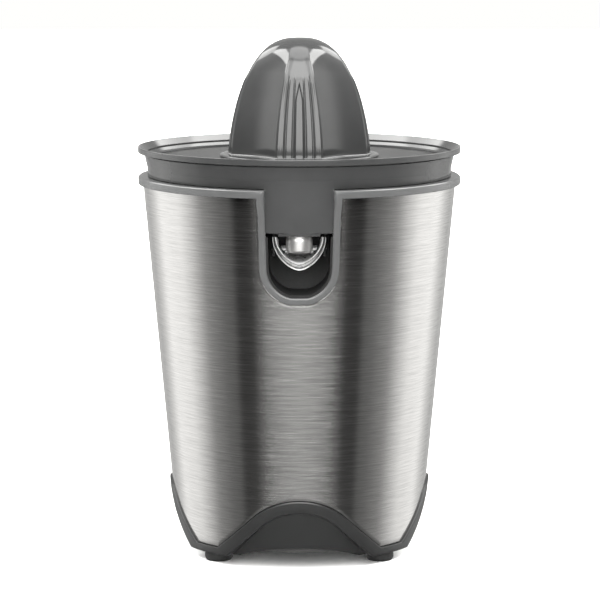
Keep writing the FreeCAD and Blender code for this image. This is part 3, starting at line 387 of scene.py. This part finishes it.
def silvered():
    """Silvered plastic of the pouring spout, with painted shade that darkens its colour down in its groove
    and corners.
    """
    paint = Paint("spout_silver", Metallic=0.35)
    flow = paint.noise(paint.place(), 400.0, 3.0)
    # Painted shade: the ambient occlusion amount darkens the base colour where the groove and corners close
    # in, multiplied with a light flow mottling.
    occlusion_amount = paint.node("ShaderNodeAmbientOcclusion", samples=12, only_local=True)
    occlusion_amount.inputs["Distance"].default_value = 0.0014
    painted_groove_shade = paint.ramp(occlusion_amount.outputs["AO"], [(0.6, grey(0.05)), (0.9, grey(0.46))])
    painted_shade_and_flow = paint.node("ShaderNodeMix", data_type="RGBA", blend_type="MULTIPLY")
    painted_shade_and_flow.inputs["Factor"].default_value = 1.0
    paint.wire(painted_groove_shade, painted_shade_and_flow.inputs["A"])
    paint.wire(paint.ramp(flow, [(0.3, grey(0.92)), (0.7, grey(1.0))]), painted_shade_and_flow.inputs["B"])
    paint.wire(painted_shade_and_flow.outputs["Result"], paint.shader.inputs["Base Color"])
    paint.roughness(flow, 0.24, 0.34)
    paint.bump(flow, 0.05, 0.00002)
    return paint.material


def laminations():
    """Stacked sheet iron: fine dark lines between the sheets."""
    paint = Paint("lamination_steel", Metallic=0.8)
    layers = paint.node("ShaderNodeTexWave", bands_direction="Z")
    layers.inputs["Scale"].default_value = 320.0
    layers.inputs["Distortion"].default_value = 0.4
    paint.wire(paint.place(), layers.inputs["Vector"])
    paint.colour(layers.outputs["Fac"], grey(0.05), grey(0.24))
    paint.roughness(layers.outputs["Fac"], 0.4, 0.6)
    paint.bump(layers.outputs["Fac"], 0.5, 0.00008)
    return paint.material


def tape(name, dark, light):
    """Glossy wrapped tape with creases."""
    paint = Paint(name, Metallic=0.0, IOR=1.5)
    crease = paint.noise(paint.place((1.0, 1.0, 3.0)), 300.0, 4.0)
    paint.colour(crease, dark, light)
    paint.roughness(crease, 0.2, 0.45)
    paint.bump(crease, 0.3, 0.0001)
    return paint.material


MATERIALS = {
    "brushed_steel": brushed_steel(),
    "dark_moulding": moulded("dark_moulding", 0.06, 0.22),
    "bowl_moulding": moulded("bowl_moulding", 0.03, 0.13, 0.06),
    "strainer_moulding": moulded("strainer_moulding", 0.012, 0.4, Specular_IOR_Level=0.3),
    "cone_moulding": moulded("cone_moulding", 0.03, 0.1, 0.05),
    "skirt_moulding": moulded("skirt_moulding", 0.013, 0.34, 0.25, grain=3200.0),
    "recess_black": moulded("recess_black", 0.006, 0.6, 0.3),
    "satin_metal": metal("satin_metal", 0.8, 0.42, 0.01),
    "spout_silver": silvered(),
    "black_rubber": rubber("black_rubber", 0.012),
    "plain_steel": metal("plain_steel", 0.6, 0.25),
    "housing_moulding": moulded("housing_moulding", 0.03, 0.42, 0.3),
    "bush_bronze": metal("bush_bronze", 0.36, 0.35, 0.35),
    "gear_moulding": moulded("gear_moulding", 0.62, 0.35, 0.15, warm=0.06),
    "lamination_steel": laminations(),
    "coil_tape": tape("coil_tape", (0.35, 0.2, 0.02), (0.62, 0.4, 0.06)),
    "zinc_plate": metal("zinc_plate", 0.55, 0.32, 0.02),
    "white_moulding": moulded("white_moulding", 0.62, 0.35, 0.15),
}


# ------------------------------------------------------------------ steel drum and base

def arch_height(across, arch, inset=0.0):
    """Height of a round-topped arch with 45 degree flanks, at a distance from its middle."""
    radius = arch - inset
    centre = ARCH_TOP - arch
    if abs(across) < radius * math.sqrt(0.5):
        return centre + math.sqrt(radius * radius - across * across)
    return centre + radius * math.sqrt(2) - abs(across)


def edge_height(angle, inset=0.0, floor=None):
    """Height of the four arches' common edge on the drum, at an angle from the front."""
    z = ARCH_MIDDLE
    for _ in range(24):
        x, y, _z = on_drum(angle, shell_radius(z), z)
        rise = max(arch_height(x, FRONT_ARCH, inset), arch_height(y, SIDE_ARCH, inset))
        z = max(rise, SHELL_LOW if floor is None else floor)
    return z


def edge_lean(angle, inset=0.0):
    """Cosine of the edge's slope: turns a distance square to the edge into a height."""
    step = 0.25
    rise = edge_height(angle + step, inset) - edge_height(angle - step, inset)
    run = math.radians(2 * step) * shell_radius(ARCH_MIDDLE)
    return 1 / math.hypot(1, rise / run)


def scallop_height(angle):
    """Bottom edge of the base moulding: it lifts in the middle of each side."""
    x, y, _z = on_drum(angle, FOOT_RADIUS, 0.0)
    heights = [SKIRT_LOW]
    for across, radius in ((x, FRONT_SCALLOP), (y, SIDE_SCALLOP)):
        if abs(across) < 45.0:
            heights.append(SCALLOP_TOP - radius + math.sqrt(radius * radius - across * across))
    return max(heights)


def window_outline(margin):
    """Half of the U-shaped outline from its bottom centre to its top: (across, height) points."""
    half, bottom = WINDOW_HALF - margin, WINDOW_BOTTOM + margin
    radius = half * 0.92
    start, stop = Vector((WINDOW_FLAT, bottom)), Vector((half, WINDOW_TURN))
    chord = stop - start
    centre = (start + stop) / 2 + Vector((-chord.y, chord.x)).normalized() * math.sqrt(
        radius * radius - (chord.length / 2) ** 2)
    first = math.atan2(start.y - centre.y, start.x - centre.x)
    last = math.atan2(stop.y - centre.y, stop.x - centre.x)
    points = [(WINDOW_FLAT * step / 3, bottom) for step in range(3)]
    steps = 22
    for step in range(steps + 1):
        angle = first + (last - first) * step / steps
        points.append((centre.x + radius * math.cos(angle), centre.y + radius * math.sin(angle)))
    for step in range(1, 15):
        z = WINDOW_TURN + (RING_HIGH - WINDOW_TURN) * step / 14
        points.append((half + WINDOW_FLARE * (z - WINDOW_TURN), z))
    return points


def window_height(across):
    """Height of the U-shaped opening's outer edge at a distance from its middle."""
    points = window_outline(-0.15)
    across = abs(across)
    for (x0, z0), (x1, z1) in zip(points, points[1:]):
        if x0 <= across <= x1:
            return z0 + (z1 - z0) * (across - x0) / (x1 - x0)
    return SHELL_HIGH if across > points[-1][0] else WINDOW_BOTTOM


def drum_angles():
    """Angles of the drum's columns, closer together where the opening's sides are steep."""
    angles = [step * 0.5 for step in range(720)]
    for step in range(27):
        across = 18.0 + step * 0.1
        angle = math.degrees(math.asin(across / shell_radius(WINDOW_MIDDLE)))
        angles += [angle, 360 - angle]
    return sorted(set(round(angle, 4) for angle in angles))


def steel_wrap():
    """Steel sheet with rounded edges and a narrow hem along the opening."""
    shape = Shape()
    columns = []
    levels = 70
    for angle in drum_angles():
        low = edge_height(angle)
        if low > SHELL_LOW + 0.01:
            low += STEEL_GAP / edge_lean(angle)
        x = shell_radius(WINDOW_MIDDLE) * math.sin(math.radians(angle))
        front = math.cos(math.radians(angle)) > 0
        high = min(SHELL_HIGH, window_height(x)) if front else SHELL_HIGH
        column = [(low, -STEEL_WALL), (low, -0.22), (low + 0.07, -0.06), (low + 0.25, 0.0)]
        column += [(low + (high - low) * step / levels, 0.0) for step in range(1, levels)]
        column += [(high - 0.25, 0.0), (high - 0.07, -0.06), (high, -0.22), (high, -STEEL_WALL)]
        columns.append([on_drum(angle, shell_radius(z) + out, z) for z, out in column])
    shape.grid(columns, wrap_rows=True, wrap_columns=True)
    hem_profile = [(0.0, -0.75), (0.0, -0.1), (0.12, 0.08), (0.4, 0.1), (0.62, 0.03), (0.62, -0.75)]
    add_strip(shape, window_path(-0.05, -0.6), hem_profile)
    piece = make_object("steel_wrap", shape)
    settle(piece, "base", MATERIALS["brushed_steel"], "brushed_steel", "outer_shell")


def window_path(outer, inner):
    """Pairs of points on two edges that follow the U, from its left top round to its right top."""
    first, second = window_outline(outer), window_outline(inner)
    pairs = list(zip(first, second))
    left = [((-a[0], a[1]), (-b[0], b[1])) for a, b in reversed(pairs[1:])]
    return left + pairs


def add_strip(shape, path, profile):
    """Strip on the drum's front between paired edges.  A profile point is (distance, outwards)."""
    rows = []
    for (x0, z0), (x1, z1) in path:
        width = math.hypot(x1 - x0, z1 - z0)
        row = []
        for distance, out in profile:
            share = distance / width
            x, z = x0 + (x1 - x0) * share, z0 + (z1 - z0) * share
            reach = shell_radius(z) + out
            row.append((x, -math.sqrt(reach * reach - x * x), z))
        rows.append(row)
    shape.grid(rows, wrap_columns=True, cap_first=True, cap_last=True)


def trim_ring():
    """One band: the ring round the drum turns down at the front into the U-shaped frame."""
    inner, outer = window_outline(FRAME_WIDTH), window_outline(0.0)
    corner_in, corner_out = inner[-1][0], outer[-1][0]
    low_angle = math.degrees(math.asin(corner_out / RING_RADIUS))
    ring_start = low_angle + 0.6
    half = []
    for step in range(150):
        angle = 180 - (180 - ring_start) * step / 149
        half.append(((angle, RING_HIGH), (angle, RING_LOW), 0.0))
    curve = 0.8
    for step in range(7):
        turn = math.pi / 2 * step / 6
        across = corner_in + curve * (1 - math.sin(turn))
        angle = math.degrees(math.asin(across / RING_RADIUS))
        half.append(((angle, RING_HIGH - curve * (1 - math.cos(turn))), (low_angle, RING_LOW), 0.0))
    legs = [pair for pair in zip(inner, outer) if pair[1][1] < RING_LOW - 0.4]
    for (x0, z0), (x1, z1) in reversed(legs):
        blend = smooth((RING_LOW - z1) / 9.0)
        a = math.degrees(math.asin(x0 / (shell_radius(z0) + FRAME_PROUD)))
        b = math.degrees(math.asin(x1 / (shell_radius(z1) + FRAME_PROUD)))
        half.append(((a, z0), (b, z1), blend))
    full = half + [((-a[0], a[1]), (-b[0], b[1]), k) for a, b, k in reversed(half[:-1])][:-1]
    band_radius = 79.0
    rows = []
    for (a0, z0), (a1, z1), blend in full:
        width = math.hypot(math.radians(a1 - a0) * band_radius, z1 - z0)
        profile = [(0.0, None), (0.0, -0.75), (0.08, -0.58), (0.58, -0.08), (0.8, 0.0),
                   (width / 2, 0.0), (width - 0.5, 0.0), (width - 0.22, -0.08),
                   (width - 0.06, -0.24), (width, -0.5), (width, None)]
        row = []
        for distance, out in profile:
            share = distance / width
            angle, z = a0 + (a1 - a0) * share, z0 + (z1 - z0) * share
            if out is None:
                reach = RING_BORE + (shell_radius(z) - FRAME_DEPTH - RING_BORE) * blend
            else:
                reach = RING_RADIUS + (shell_radius(z) + FRAME_PROUD - RING_RADIUS) * blend + out
            row.append(on_drum(angle, reach, z))
        rows.append(row)
    shape = Shape()
    shape.grid(rows, wrap_rows=True, wrap_columns=True)
    collar = rounded([(RING_BORE, RING_LOW - 5, 0.3), (RING_BORE + 1.5, RING_LOW - 5, 0.3),
                      (RING_BORE + 1.5, RING_LOW + 1, 0), (RING_BORE, RING_LOW + 1, 0)])
    reach = low_angle + 1.0
    angles = [reach + (360 - 2 * reach) * step / 180 for step in range(181)]
    shape.grid([[on_drum(angle, r, z) for r, z in collar] for angle in angles],
               wrap_columns=True, cap_first=True, cap_last=True)
    piece = make_object("trim_ring_and_frame", shape, 50.0)
    settle(piece, "base", MATERIALS["dark_moulding"], "dark_moulding", "trim_ring")


def sunk(z):
    """Distance of the sunk panels from the drum's surface at a height, below zero inwards."""
    return SUNK_RADIUS + SUNK_LEAN * (z - SUNK_START) - shell_radius(z)


def base_skirt():
    """Base moulding: a raised band follows the steel's edge, with a sunk panel under each arch."""
    columns = []
    for column_index in range(960):
        angle = column_index * 0.375
        top = edge_height(angle, 0.0, SHELL_LOW - STEEL_GAP)
        bottom = scallop_height(angle)
        lean = edge_lean(angle)
        sill = max(edge_height(angle, BAND_WIDTH, bottom), bottom)
        room = min(1.0, (top - sill) * lean / 2.5)
        panel = sill - bottom

        column = [(top, -1.5), (top, 0.75), (top - 0.10 / lean, 1.05), (top - 0.35 / lean, 1.2),
                  (top - 0.75 / lean, SKIRT_PROUD), ((top + sill) / 2, SKIRT_PROUD),
                  (sill + 0.5 * room, SKIRT_PROUD), (sill + 0.2 * room, SKIRT_PROUD - 0.1),
                  (sill, SKIRT_PROUD - 0.4)]
        ease = min(0.5, panel * 0.2)
        column += [(sill, sunk(sill) + 0.4), (sill - ease * 0.4, sunk(sill) + 0.1)]
        for step in range(13):
            z = sill - ease - (panel - 2 * ease) * step / 12
            column.append((z, sunk(z)))
        column += [(bottom + ease * 0.3, sunk(bottom) - 0.08), (bottom, sunk(bottom) - 0.35)]
        loop = [on_drum(angle, shell_radius(z) + out, z) for z, out in column]
        inner = 56.5 + 0.2 * (bottom - SKIRT_LOW)
        loop += [on_drum(angle, inner, bottom), on_drum(angle, 62.6, SKIRT_HIGH),
                 on_drum(angle, shell_radius(SKIRT_HIGH) - 1.0, SKIRT_HIGH)]
        columns.append(loop)
    shape = Shape()
    shape.grid(columns, wrap_rows=True, wrap_columns=True)
    moulding = make_object("base_moulding", shape, 40.0)
    bore = Shape()
    turns = [2 * math.pi * step / 48 for step in range(48)]
    bore.grid([[(CORD_HOLE * math.cos(t), y, CORD_HEIGHT + CORD_HOLE * math.sin(t)) for t in turns]
               for y in (50.0, 75.0)], wrap_columns=True, cap_first=True, cap_last=True)
    carve(moulding, bore, 40.0)
    pads = Shape()
    pad = rounded([(46.5, SKIRT_LOW, 0.4), (57.5, SKIRT_LOW, 0), (57.5, SKIRT_LOW + 2, 0),
                   (46.5, SKIRT_LOW + 2, 0.4)])
    boss = rounded([(1.3, 10.3, 0.2), (6.5, 10.3, 0.4), (6.5, 30, 0.4), (1.3, 30, 0.2)])
    for middle in (47.1, 132.9, 227.1, 312.9):
        rows = []
        for step in range(13):
            angle = middle - 13 + 26 * step / 12
            rows.append([on_drum(angle, r, z) for r, z in pad])
        pads.grid(rows, wrap_columns=True, cap_first=True, cap_last=True)
    for x in (-26.0, 26.0):
        for y in (-46.0, 46.0):
            pads.turn(boss, x, y, 40)
    piece = join([moulding, make_object("base_pads", pads)])
    settle(piece, "base", MATERIALS["skirt_moulding"], "skirt_moulding", "base_skirt")


def rubber_feet():
    """Four feet, each hollow underneath round its middle."""
    for node in ("foot_front_left", "foot_front_right", "foot_back_left", "foot_back_right"):
        (x0, x1), (y0, y1) = span(node, 0), span(node, 1)
        radius = (x1 - x0) / 2
        shape = Shape()
        shape.turn(rounded([
            (0.05, 0.4, 0), (2.6, 0.4, 0.2), (3.2, 0.0, 0.3), (radius - 0.7, 0.0, 0.5), (radius, 1.2, 0.6),
            (radius, SKIRT_LOW - 0.02, 0.3), (2.0, SKIRT_LOW - 0.02, 0), (2.0, 6.6, 0.3), (0.05, 6.6, 0)]),
            (x0 + x1) / 2, (y0 + y1) / 2, 64)
        piece = make_object("rubber_" + node, shape)
        settle(piece, "base", MATERIALS["black_rubber"], "black_rubber", node)


# ------------------------------------------------------------------ bowl, nozzle and spout

def juice_bowl():
    """Bowl with a crisp lip; at the front its wall runs straight down as the spout panel."""
    inside = [(RIM_RADIUS, LIP_LOW, 0.2), (RIM_RADIUS, RIM_TOP, 0.35), (79.7, RIM_TOP, 0.3),
              (75.7, 197.7, 0.6), (75.35, 196.8, 0.3), (75.35, 194.85, 0.15), (72.8, 194.85, 0.4),
              (71.5, 191.5, 0.8), (71.3, 176.2, 2.0), (13.1, 176.1, 1.2), (13.0, 191.9, 0.6),
              (11.1, 191.9, 0.5), (11.1, BOWL_LOW, 0.4)]
    wall_top = [(76.05, 192.5, 0.5), (77.5, LIP_LOW - 0.95, 0.1), (GROOVE_RADIUS, LIP_LOW - 0.9, 0.1),
                (GROOVE_RADIUS, LIP_LOW, 0.1)]
    plain = [(72.6, BOWL_LOW, 0.6), (72.7, 176.0, 0), (72.9, 181.0, 0), (73.1, 188.4, 0.3),
             (75.95, WALL_FOOT, 0.25)]
    rows = []
    for step in range(241):
        angle = PANEL_ANGLE + step * (360 - 2 * PANEL_ANGLE) / 240
        rows.append([on_drum(angle, r, z) for r, z in rounded(inside + plain + wall_top)])
    for step in range(49):
        angle = -PANEL_ANGLE + 2 * PANEL_ANGLE * step / 48
        dip = smooth(1 - abs(PANEL_RADIUS * math.sin(math.radians(angle))) / 9.0) * 1.45
        foot = PANEL_BOTTOM - dip
        panel = [(PANEL_BACK, BOWL_LOW, 0.6), (PANEL_BACK, foot + 1, 0), (PANEL_BACK + 0.2, foot, 0),
                 (PANEL_RADIUS, foot, 1.0), (PANEL_RADIUS, WALL_FOOT, 0.25)]
        row = []
        for r, z in rounded(inside + panel + wall_top):
            narrow = 1 - 0.0018 * max(0.0, 188.2 - z) * smooth((abs(angle) - 3) / 6)
            row.append(on_drum(angle * narrow, r, z))
        rows.append(row)
    shape = Shape()
    shape.grid(rows, wrap_rows=True, wrap_columns=True)
    bowl = make_object("bowl_body", shape, 42.0)
    pocket = Shape()
    pocket.box((-8.4, -71.2, 167.6), (8.4, -54.0, 186.0), 1.2)
    carve(bowl, pocket, 42.0)
    chute_shape = Shape()
    chute_shape.box((-10.2, -74.6, 165.85), (10.2, -52.2, 175.9), 0.9)
    chute = make_object("bowl_chute", chute_shape)
    carve(chute, pocket)
    drain = Shape()
    drain.turn([(0.01, 160.0), (5.2, 160.0), (5.2, 170.0), (0.01, 170.0)], 0.0, NOZZLE_Y, 64)
    carve(chute, drain)
    ears = Shape()
    for low, high in ((-13.05, -11.45), (11.45, 13.05)):
        ears.box((low, -59.4, 154.4), (high, -52.6, 174.3), 0.5)
    piece = join([bowl, chute, make_object("bowl_ears", ears)])
    piece.data.set_sharp_from_angle(angle=math.radians(42))
    settle(piece, "juice_bowl", MATERIALS["bowl_moulding"], "bowl_moulding", "juice_bowl")


def outlet_nozzle():
    """Short tube with a chamfered end and the thin rubber ring under it."""
    shape = Shape()
    shape.turn(rounded([
        (4.05, 157.62, 0.2), (5.9, 157.62, 0.2), (6.38, 158.6, 0.4), (6.38, 163.4, 0.8), (6.15, 164.4, 0.2),
        (6.15, 165.8, 0.1), (5.15, 165.8, 0), (5.15, 167.5, 0.3), (4.05, 167.5, 0.3)]), 0.0, NOZZLE_Y)
    piece = make_object("nozzle_tube", shape)
    settle(piece, "juice_bowl", MATERIALS["satin_metal"], "satin_metal", "outlet_nozzle")
    ring = Shape()
    ring.turn(rounded([(3.65, 156.52, 0.2), (4.75, 156.52, 0.2), (5.75, 157.38, 0.1), (5.85, 157.6, 0),
                       (3.65, 157.6, 0.1)]), 0.0, NOZZLE_Y)
    seal = make_object("nozzle_ring", ring)
    settle(seal, "juice_bowl", MATERIALS["black_rubber"], "black_rubber", "nozzle_seal")


def drip_spout():
    """Crescent scoop: a thin bead, a hollowed front face, an inner lip and a floor up to the hinge."""
    columns = 41

    def section(half, low, top, power=0.85):
        """Open U from the left tip down and up to the right tip."""
        line = []
        for step in range(columns):
            turn = math.pi / 2 * (-1 + 2 * step / (columns - 1))
            line.append((half * math.sin(turn), low + (top - low) * (1 - math.cos(turn)) ** power))
        return line

    ring_sections = [
        (section(12.85, 149.25, 165.25), -68.6),
        (section(12.85, 149.25, 165.25), -71.1), (section(12.7, 149.45, 165.25), -71.4),
        (section(12.5, 149.75, 165.25), -71.25), (section(12.45, 149.85, 165.2), -69.5),
        (section(12.35, 150.0, 165.2), -69.1), (section(11.9, 151.8, 165.2, 0.8), -69.2),
        (section(11.8, 152.0, 165.2, 0.8), -70.0), (section(11.5, 152.3, 165.2, 0.8), -70.4),
        (section(11.2, 152.6, 165.2, 0.82), -70.2), (section(10.9, 152.9, 165.2, 0.84), -69.6),
        (section(10.5, 153.3, 165.0, 1.2), -67.5),
        (section(10.1, 153.9, 163.6, 1.6), -64.0), (section(9.8, 155.0, 162.5, 1.6), -58.6),
        (section(9.9, 154.8, 162.5, 1.6), -58.2), (section(10.4, 153.7, 162.5, 1.25), -58.2),
        (section(10.6, 153.3, 162.5, 1.25), -58.7)]
    rows = [[(x, y, z) for x, z in line] for line, y in ring_sections]
    shape = Shape()
    shape.grid(rows, wrap_rows=True)
    shape.faces.append(tuple(row * columns for row in range(len(rows))))
    shape.faces.append(tuple(row * columns + columns - 1 for row in reversed(range(len(rows)))))
    barrel = rounded([(1.07, -8.8, 0), (2.15, -8.8, 0.4), (2.15, 8.8, 0.4), (1.07, 8.8, 0)])
    rows = []
    for step in range(40):
        angle = 2 * math.pi * step / 40
        rows.append([(x, HINGE_Y + r * math.cos(angle), HINGE_Z + r * math.sin(angle)) for r, x in barrel])
    shape.grid(rows, wrap_rows=True, wrap_columns=True)
    shape.box((-7.0, -58.6, 154.9), (7.0, -57.4, 157.2), 0.3)
    piece = make_object("drip_scoop", shape, 38.0)
    settle(piece, "drip_spout", MATERIALS["spout_silver"], "spout_silver", "drip_spout")


# ------------------------------------------------------------------ reaming cone

def ridge_radius(height):
    """Radius of the cone over its ridges."""
    reach = (CONE_TOP - CONE_BASE) + 0.2
    return CONE_RADIUS * (1 - (min(height, reach - 0.01) / reach) ** 1.6) ** (1 / 2.6)


def cone_radius(angle, height):
    """Four broad ribbed ridges with a wide hollow flute between each two."""
    ridge = ridge_radius(height)
    total = CONE_TOP - CONE_BASE
    away = abs((angle + 45) % 90 - 45)
    half = RIDGE_HALF - 5.4 * (height / total) ** 2
    off = away * RIDGE_HALF / half if away < half else RIDGE_HALF + (away - half)
    fade = smooth((total - height - 4.0) / 22.0)
    lines = smooth((41.5 - height) / 5.0)
    across = min(1.0, max(0.0, (45 - away) / (45 - half)))
    hollow = 0.165 * smooth((total - height - 2.5) / 14.0) * (1 - across * across)

    def bump(middle, reach):
        """Round bump across the ridge, 1 in its middle."""
        share = min(1.0, abs(off - middle) / reach)
        return 0.5 + 0.5 * math.cos(math.pi * share)

    shoulder = 0.45 * fade * bump(17.6, 2.6)
    groove = -0.3 * lines * bump(13.6, 1.5)
    ribs = 0.42 * lines * (bump(11.4, 1.3) + bump(5.2, 1.3))
    wedge = 3.9 * smooth((40.5 - height) / 12.0)
    middle = -0.7 * smooth((wedge - off) / 1.2) * smooth((39.0 - height) / 2.5)
    return ridge * (1 - hollow) + shoulder + groove + ribs + middle


def reamer_cone():
    """Cone with its flange and hollow underside, and the hub and sleeve inside it."""
    angles = []
    for quarter in range(4):
        for step in range(140):
            angles.append(quarter * 90 - 21 + step * 0.3)
        for step in range(24):
            angles.append(quarter * 90 + 21 + step * 2.0)
    total = CONE_TOP - CONE_BASE
    heights = [total * (1 - (1 - step / 110) ** 1.5) for step in range(111)]
    underside = [(6.0, 241.0), (12.0, 240.0), (17.0, 234.0), (21.5, 226.0), (25.0, 214.0), (26.6, 204.0),
                 (27.0, 197.3), (27.3, 197.0), (CONE_FLANGE - 0.7, 197.0), (CONE_FLANGE - 0.2, 197.25),
                 (CONE_FLANGE, 197.8), (CONE_FLANGE - 0.05, 198.5), (CONE_FLANGE - 0.4, 198.9),
                 (CONE_FLANGE - 1.2, 199.0)]
    rows = [[on_drum(angle, r, z) for angle in angles] for r, z in underside]
    for step in range(5):
        share = step / 4
        rows.append([on_drum(angle, cone_radius(angle, 2.0) + CONE_FILLET * (1 - share) ** 2,
                             CONE_BASE + 1.0 + CONE_FILLET * share ** 2) for angle in angles])
    for height in heights:
        if height > 2 * CONE_FILLET:
            rows.append([on_drum(angle, cone_radius(angle, height), CONE_BASE + height) for angle in angles])
    shape = Shape()
    shape.grid(rows, wrap_columns=True, cap_first=True, cap_last=True)
    hub = rounded([(6.5, 186.2, 0.2), (9.0, 186.2, 0.4), (9.0, 242.0, 0), (6.5, 242.0, 0)])
    sleeve = rounded([(14.4, 189.2, 0.4), (16.2, 189.2, 0.4), (16.2, 236.5, 0), (14.4, 236.5, 0)])
    shape.turn(hub, segments=64)
    shape.turn(sleeve)
    piece = make_object("ribbed_cone", shape, 60.0)
    settle(piece, "reamer_cone", MATERIALS["cone_moulding"], "cone_moulding", "reamer_cone")


# ------------------------------------------------------------------ carried-over parts

def finish_cad_parts():
    """Every CAD node that still shows gets the material of its slot."""
    slots = {entry["node"]: entry["material_slot"] for entry in frame["record"]["subparts"]}
    for node, piece in frame["nodes"].items():
        if piece.hide_render:
            continue
        if piece.material_slots:
            for material_slot in piece.material_slots:
                material_slot.material = MATERIALS[slots[node]]
        else:
            piece.data.materials.append(MATERIALS[slots[node]])


# ------------------------------------------------------------------ studio

def studio():
    """Pale room: brightness by bearing from the front, soft boxes above, darker below the horizon."""
    world = bpy.data.worlds.new("studio")
    bpy.context.scene.world = world
    world.use_nodes = True
    tree = world.node_tree
    tree.nodes.clear()

    def node(kind, *sources, **values):
        """First output of a new node, with its inputs set or wired in order."""
        made = tree.nodes.new(kind)
        for key, value in values.items():
            setattr(made, key, value)
        for index, source in enumerate(sources):
            if isinstance(source, (int, float)):
                made.inputs[index].default_value = source
            else:
                tree.links.new(source, made.inputs[index])
        return made.outputs[0]

    def rise(value, start, stop):
        """0 at start, 1 at stop, smooth between."""
        return node("ShaderNodeMapRange", value, start, stop, interpolation_type="SMOOTHSTEP")

    def patch(bearing_from, bearing_to, lift_from, lift_to, soft=5.0):
        """1 inside a patch of sky, 0 outside; all sides in degrees."""
        sides = node("ShaderNodeMath", rise(bearing, bearing_from - soft, bearing_from),
                     rise(bearing, bearing_to + soft, bearing_to), operation="MULTIPLY")
        ends = node("ShaderNodeMath", rise(lift, lift_from - soft, lift_from),
                    rise(lift, lift_to + soft, lift_to), operation="MULTIPLY")
        return node("ShaderNodeMath", sides, ends, operation="MULTIPLY")

    def blend(factor, first, level):
        """Mixes a colour towards a plain level."""
        mix = tree.nodes.new("ShaderNodeMix")
        mix.data_type = "RGBA"
        mix.inputs["B"].default_value = (level, level, level * 0.985, 1.0)
        tree.links.new(factor, mix.inputs["Factor"])
        tree.links.new(first, mix.inputs["A"])
        return mix.outputs["Result"]

    parts = tree.nodes.new("ShaderNodeSeparateXYZ")
    tree.links.new(node("ShaderNodeTexCoord"), parts.inputs[0])
    side = node("ShaderNodeMath", parts.outputs["X"], operation="ABSOLUTE")
    front = node("ShaderNodeMath", parts.outputs["Y"], -1.0, operation="MULTIPLY")
    turn = node("ShaderNodeMath", side, front, operation="ARCTAN2")
    bearing = node("ShaderNodeMath", turn, operation="DEGREES")
    tilt = node("ShaderNodeMath", parts.outputs["Z"], operation="ARCSINE")
    lift = node("ShaderNodeMath", tilt, operation="DEGREES")
    share = node("ShaderNodeMath", bearing, 180.0, operation="DIVIDE")
    ramp = tree.nodes.new("ShaderNodeValToRGB")
    stops = [(0, 0.4), (12, 0.34), (24, 0.2), (33, 0.1), (37, 0.0), (49, 0.0), (53, 0.13), (62, 0.18),
             (78, 0.4), (90, 0.95), (102, 1.4), (126, 1.45), (138, 0.9), (150, 0.6), (180, 0.55)]
    elements = ramp.color_ramp.elements
    while len(elements) < len(stops):
        elements.new(0.5)
    for element, (degrees, level) in zip(elements, stops):
        element.position = degrees / 180
        element.color = (level, level, level * 0.985, 1.0)
    tree.links.new(share, ramp.inputs["Fac"])
    sky = ramp.outputs["Color"]
    sky = blend(rise(lift, -12.0, -40.0), sky, 0.12)
    sky = blend(rise(lift, 40.0, 60.0), sky, 0.7)
    sky = blend(rise(lift, 70.0, 74.0), sky, 4.0)
    sky = blend(patch(-9.0, 26.0, 6.0, 44.0, 3.0), sky, 6.5)
    sky = blend(patch(-9.0, 26.0, 48.0, 66.0), sky, 7.0)
    sky = blend(patch(30.0, 68.0, 50.0, 64.0), sky, 4.0)
    sky = blend(patch(70.0, 118.0, 40.0, 62.0), sky, 12.0)
    sky = blend(patch(118.0, 146.0, 26.0, 42.0), sky, 6.0)
    rays = tree.nodes.new("ShaderNodeLightPath")
    sky = blend(rays.outputs["Is Camera Ray"], sky, 1.0)
    background = tree.nodes.new("ShaderNodeBackground")
    tree.links.new(sky, background.inputs["Color"])
    output = tree.nodes.new("ShaderNodeOutputWorld")
    tree.links.new(background.outputs[0], output.inputs["Surface"])

    mesh = bpy.data.meshes.new("floor")
    size = 6.0
    corners = [(-size, -size, 0), (size, -size, 0), (size, size, 0), (-size, size, 0)]
    mesh.from_pydata(corners, [], [(0, 1, 2, 3)])
    floor = bpy.data.objects.new("floor", mesh)
    bpy.context.scene.collection.objects.link(floor)
    paint = Paint("floor_white", Roughness=0.9, Base_Color=(0.93, 0.93, 0.93, 1.0))
    mesh.materials.append(paint.material)
    floor.visible_glossy = False

    light = bpy.data.lights.new("key_top", "AREA")
    light.size, light.energy = 1.6, 12.0
    lamp = bpy.data.objects.new("key_top", light)
    lamp.location = (0.0, -0.4, 1.7)
    lamp.rotation_euler = (Vector((0, 0, 0.1)) - lamp.location).to_track_quat("-Z", "Y").to_euler()
    bpy.context.scene.collection.objects.link(lamp)


def camera():
    """Long lens a little over a metre away, looking down at the drum by about eight degrees."""
    data = bpy.data.cameras.new("camera")
    data.lens, data.sensor_width = 157.2, 36.0
    data.clip_end = 50.0
    viewer = bpy.data.objects.new("camera", data)
    aim, place = Vector((0.00035, 0.0, 0.12465)), Vector((0.00035, -1.3081, 0.3171))
    viewer.location = place
    viewer.rotation_euler = (aim - place).to_track_quat("-Z", "Y").to_euler()
    bpy.context.scene.collection.objects.link(viewer)
    bpy.context.scene.camera = viewer


steel_wrap()
trim_ring()
base_skirt()
rubber_feet()
juice_bowl()
outlet_nozzle()
drip_spout()
reamer_cone()
finish_cad_parts()
studio()
camera()
bpy.context.scene.view_settings.view_transform = "Standard"
bpy.context.scene.view_settings.look = "None"

bpy.context.view_layer.update()
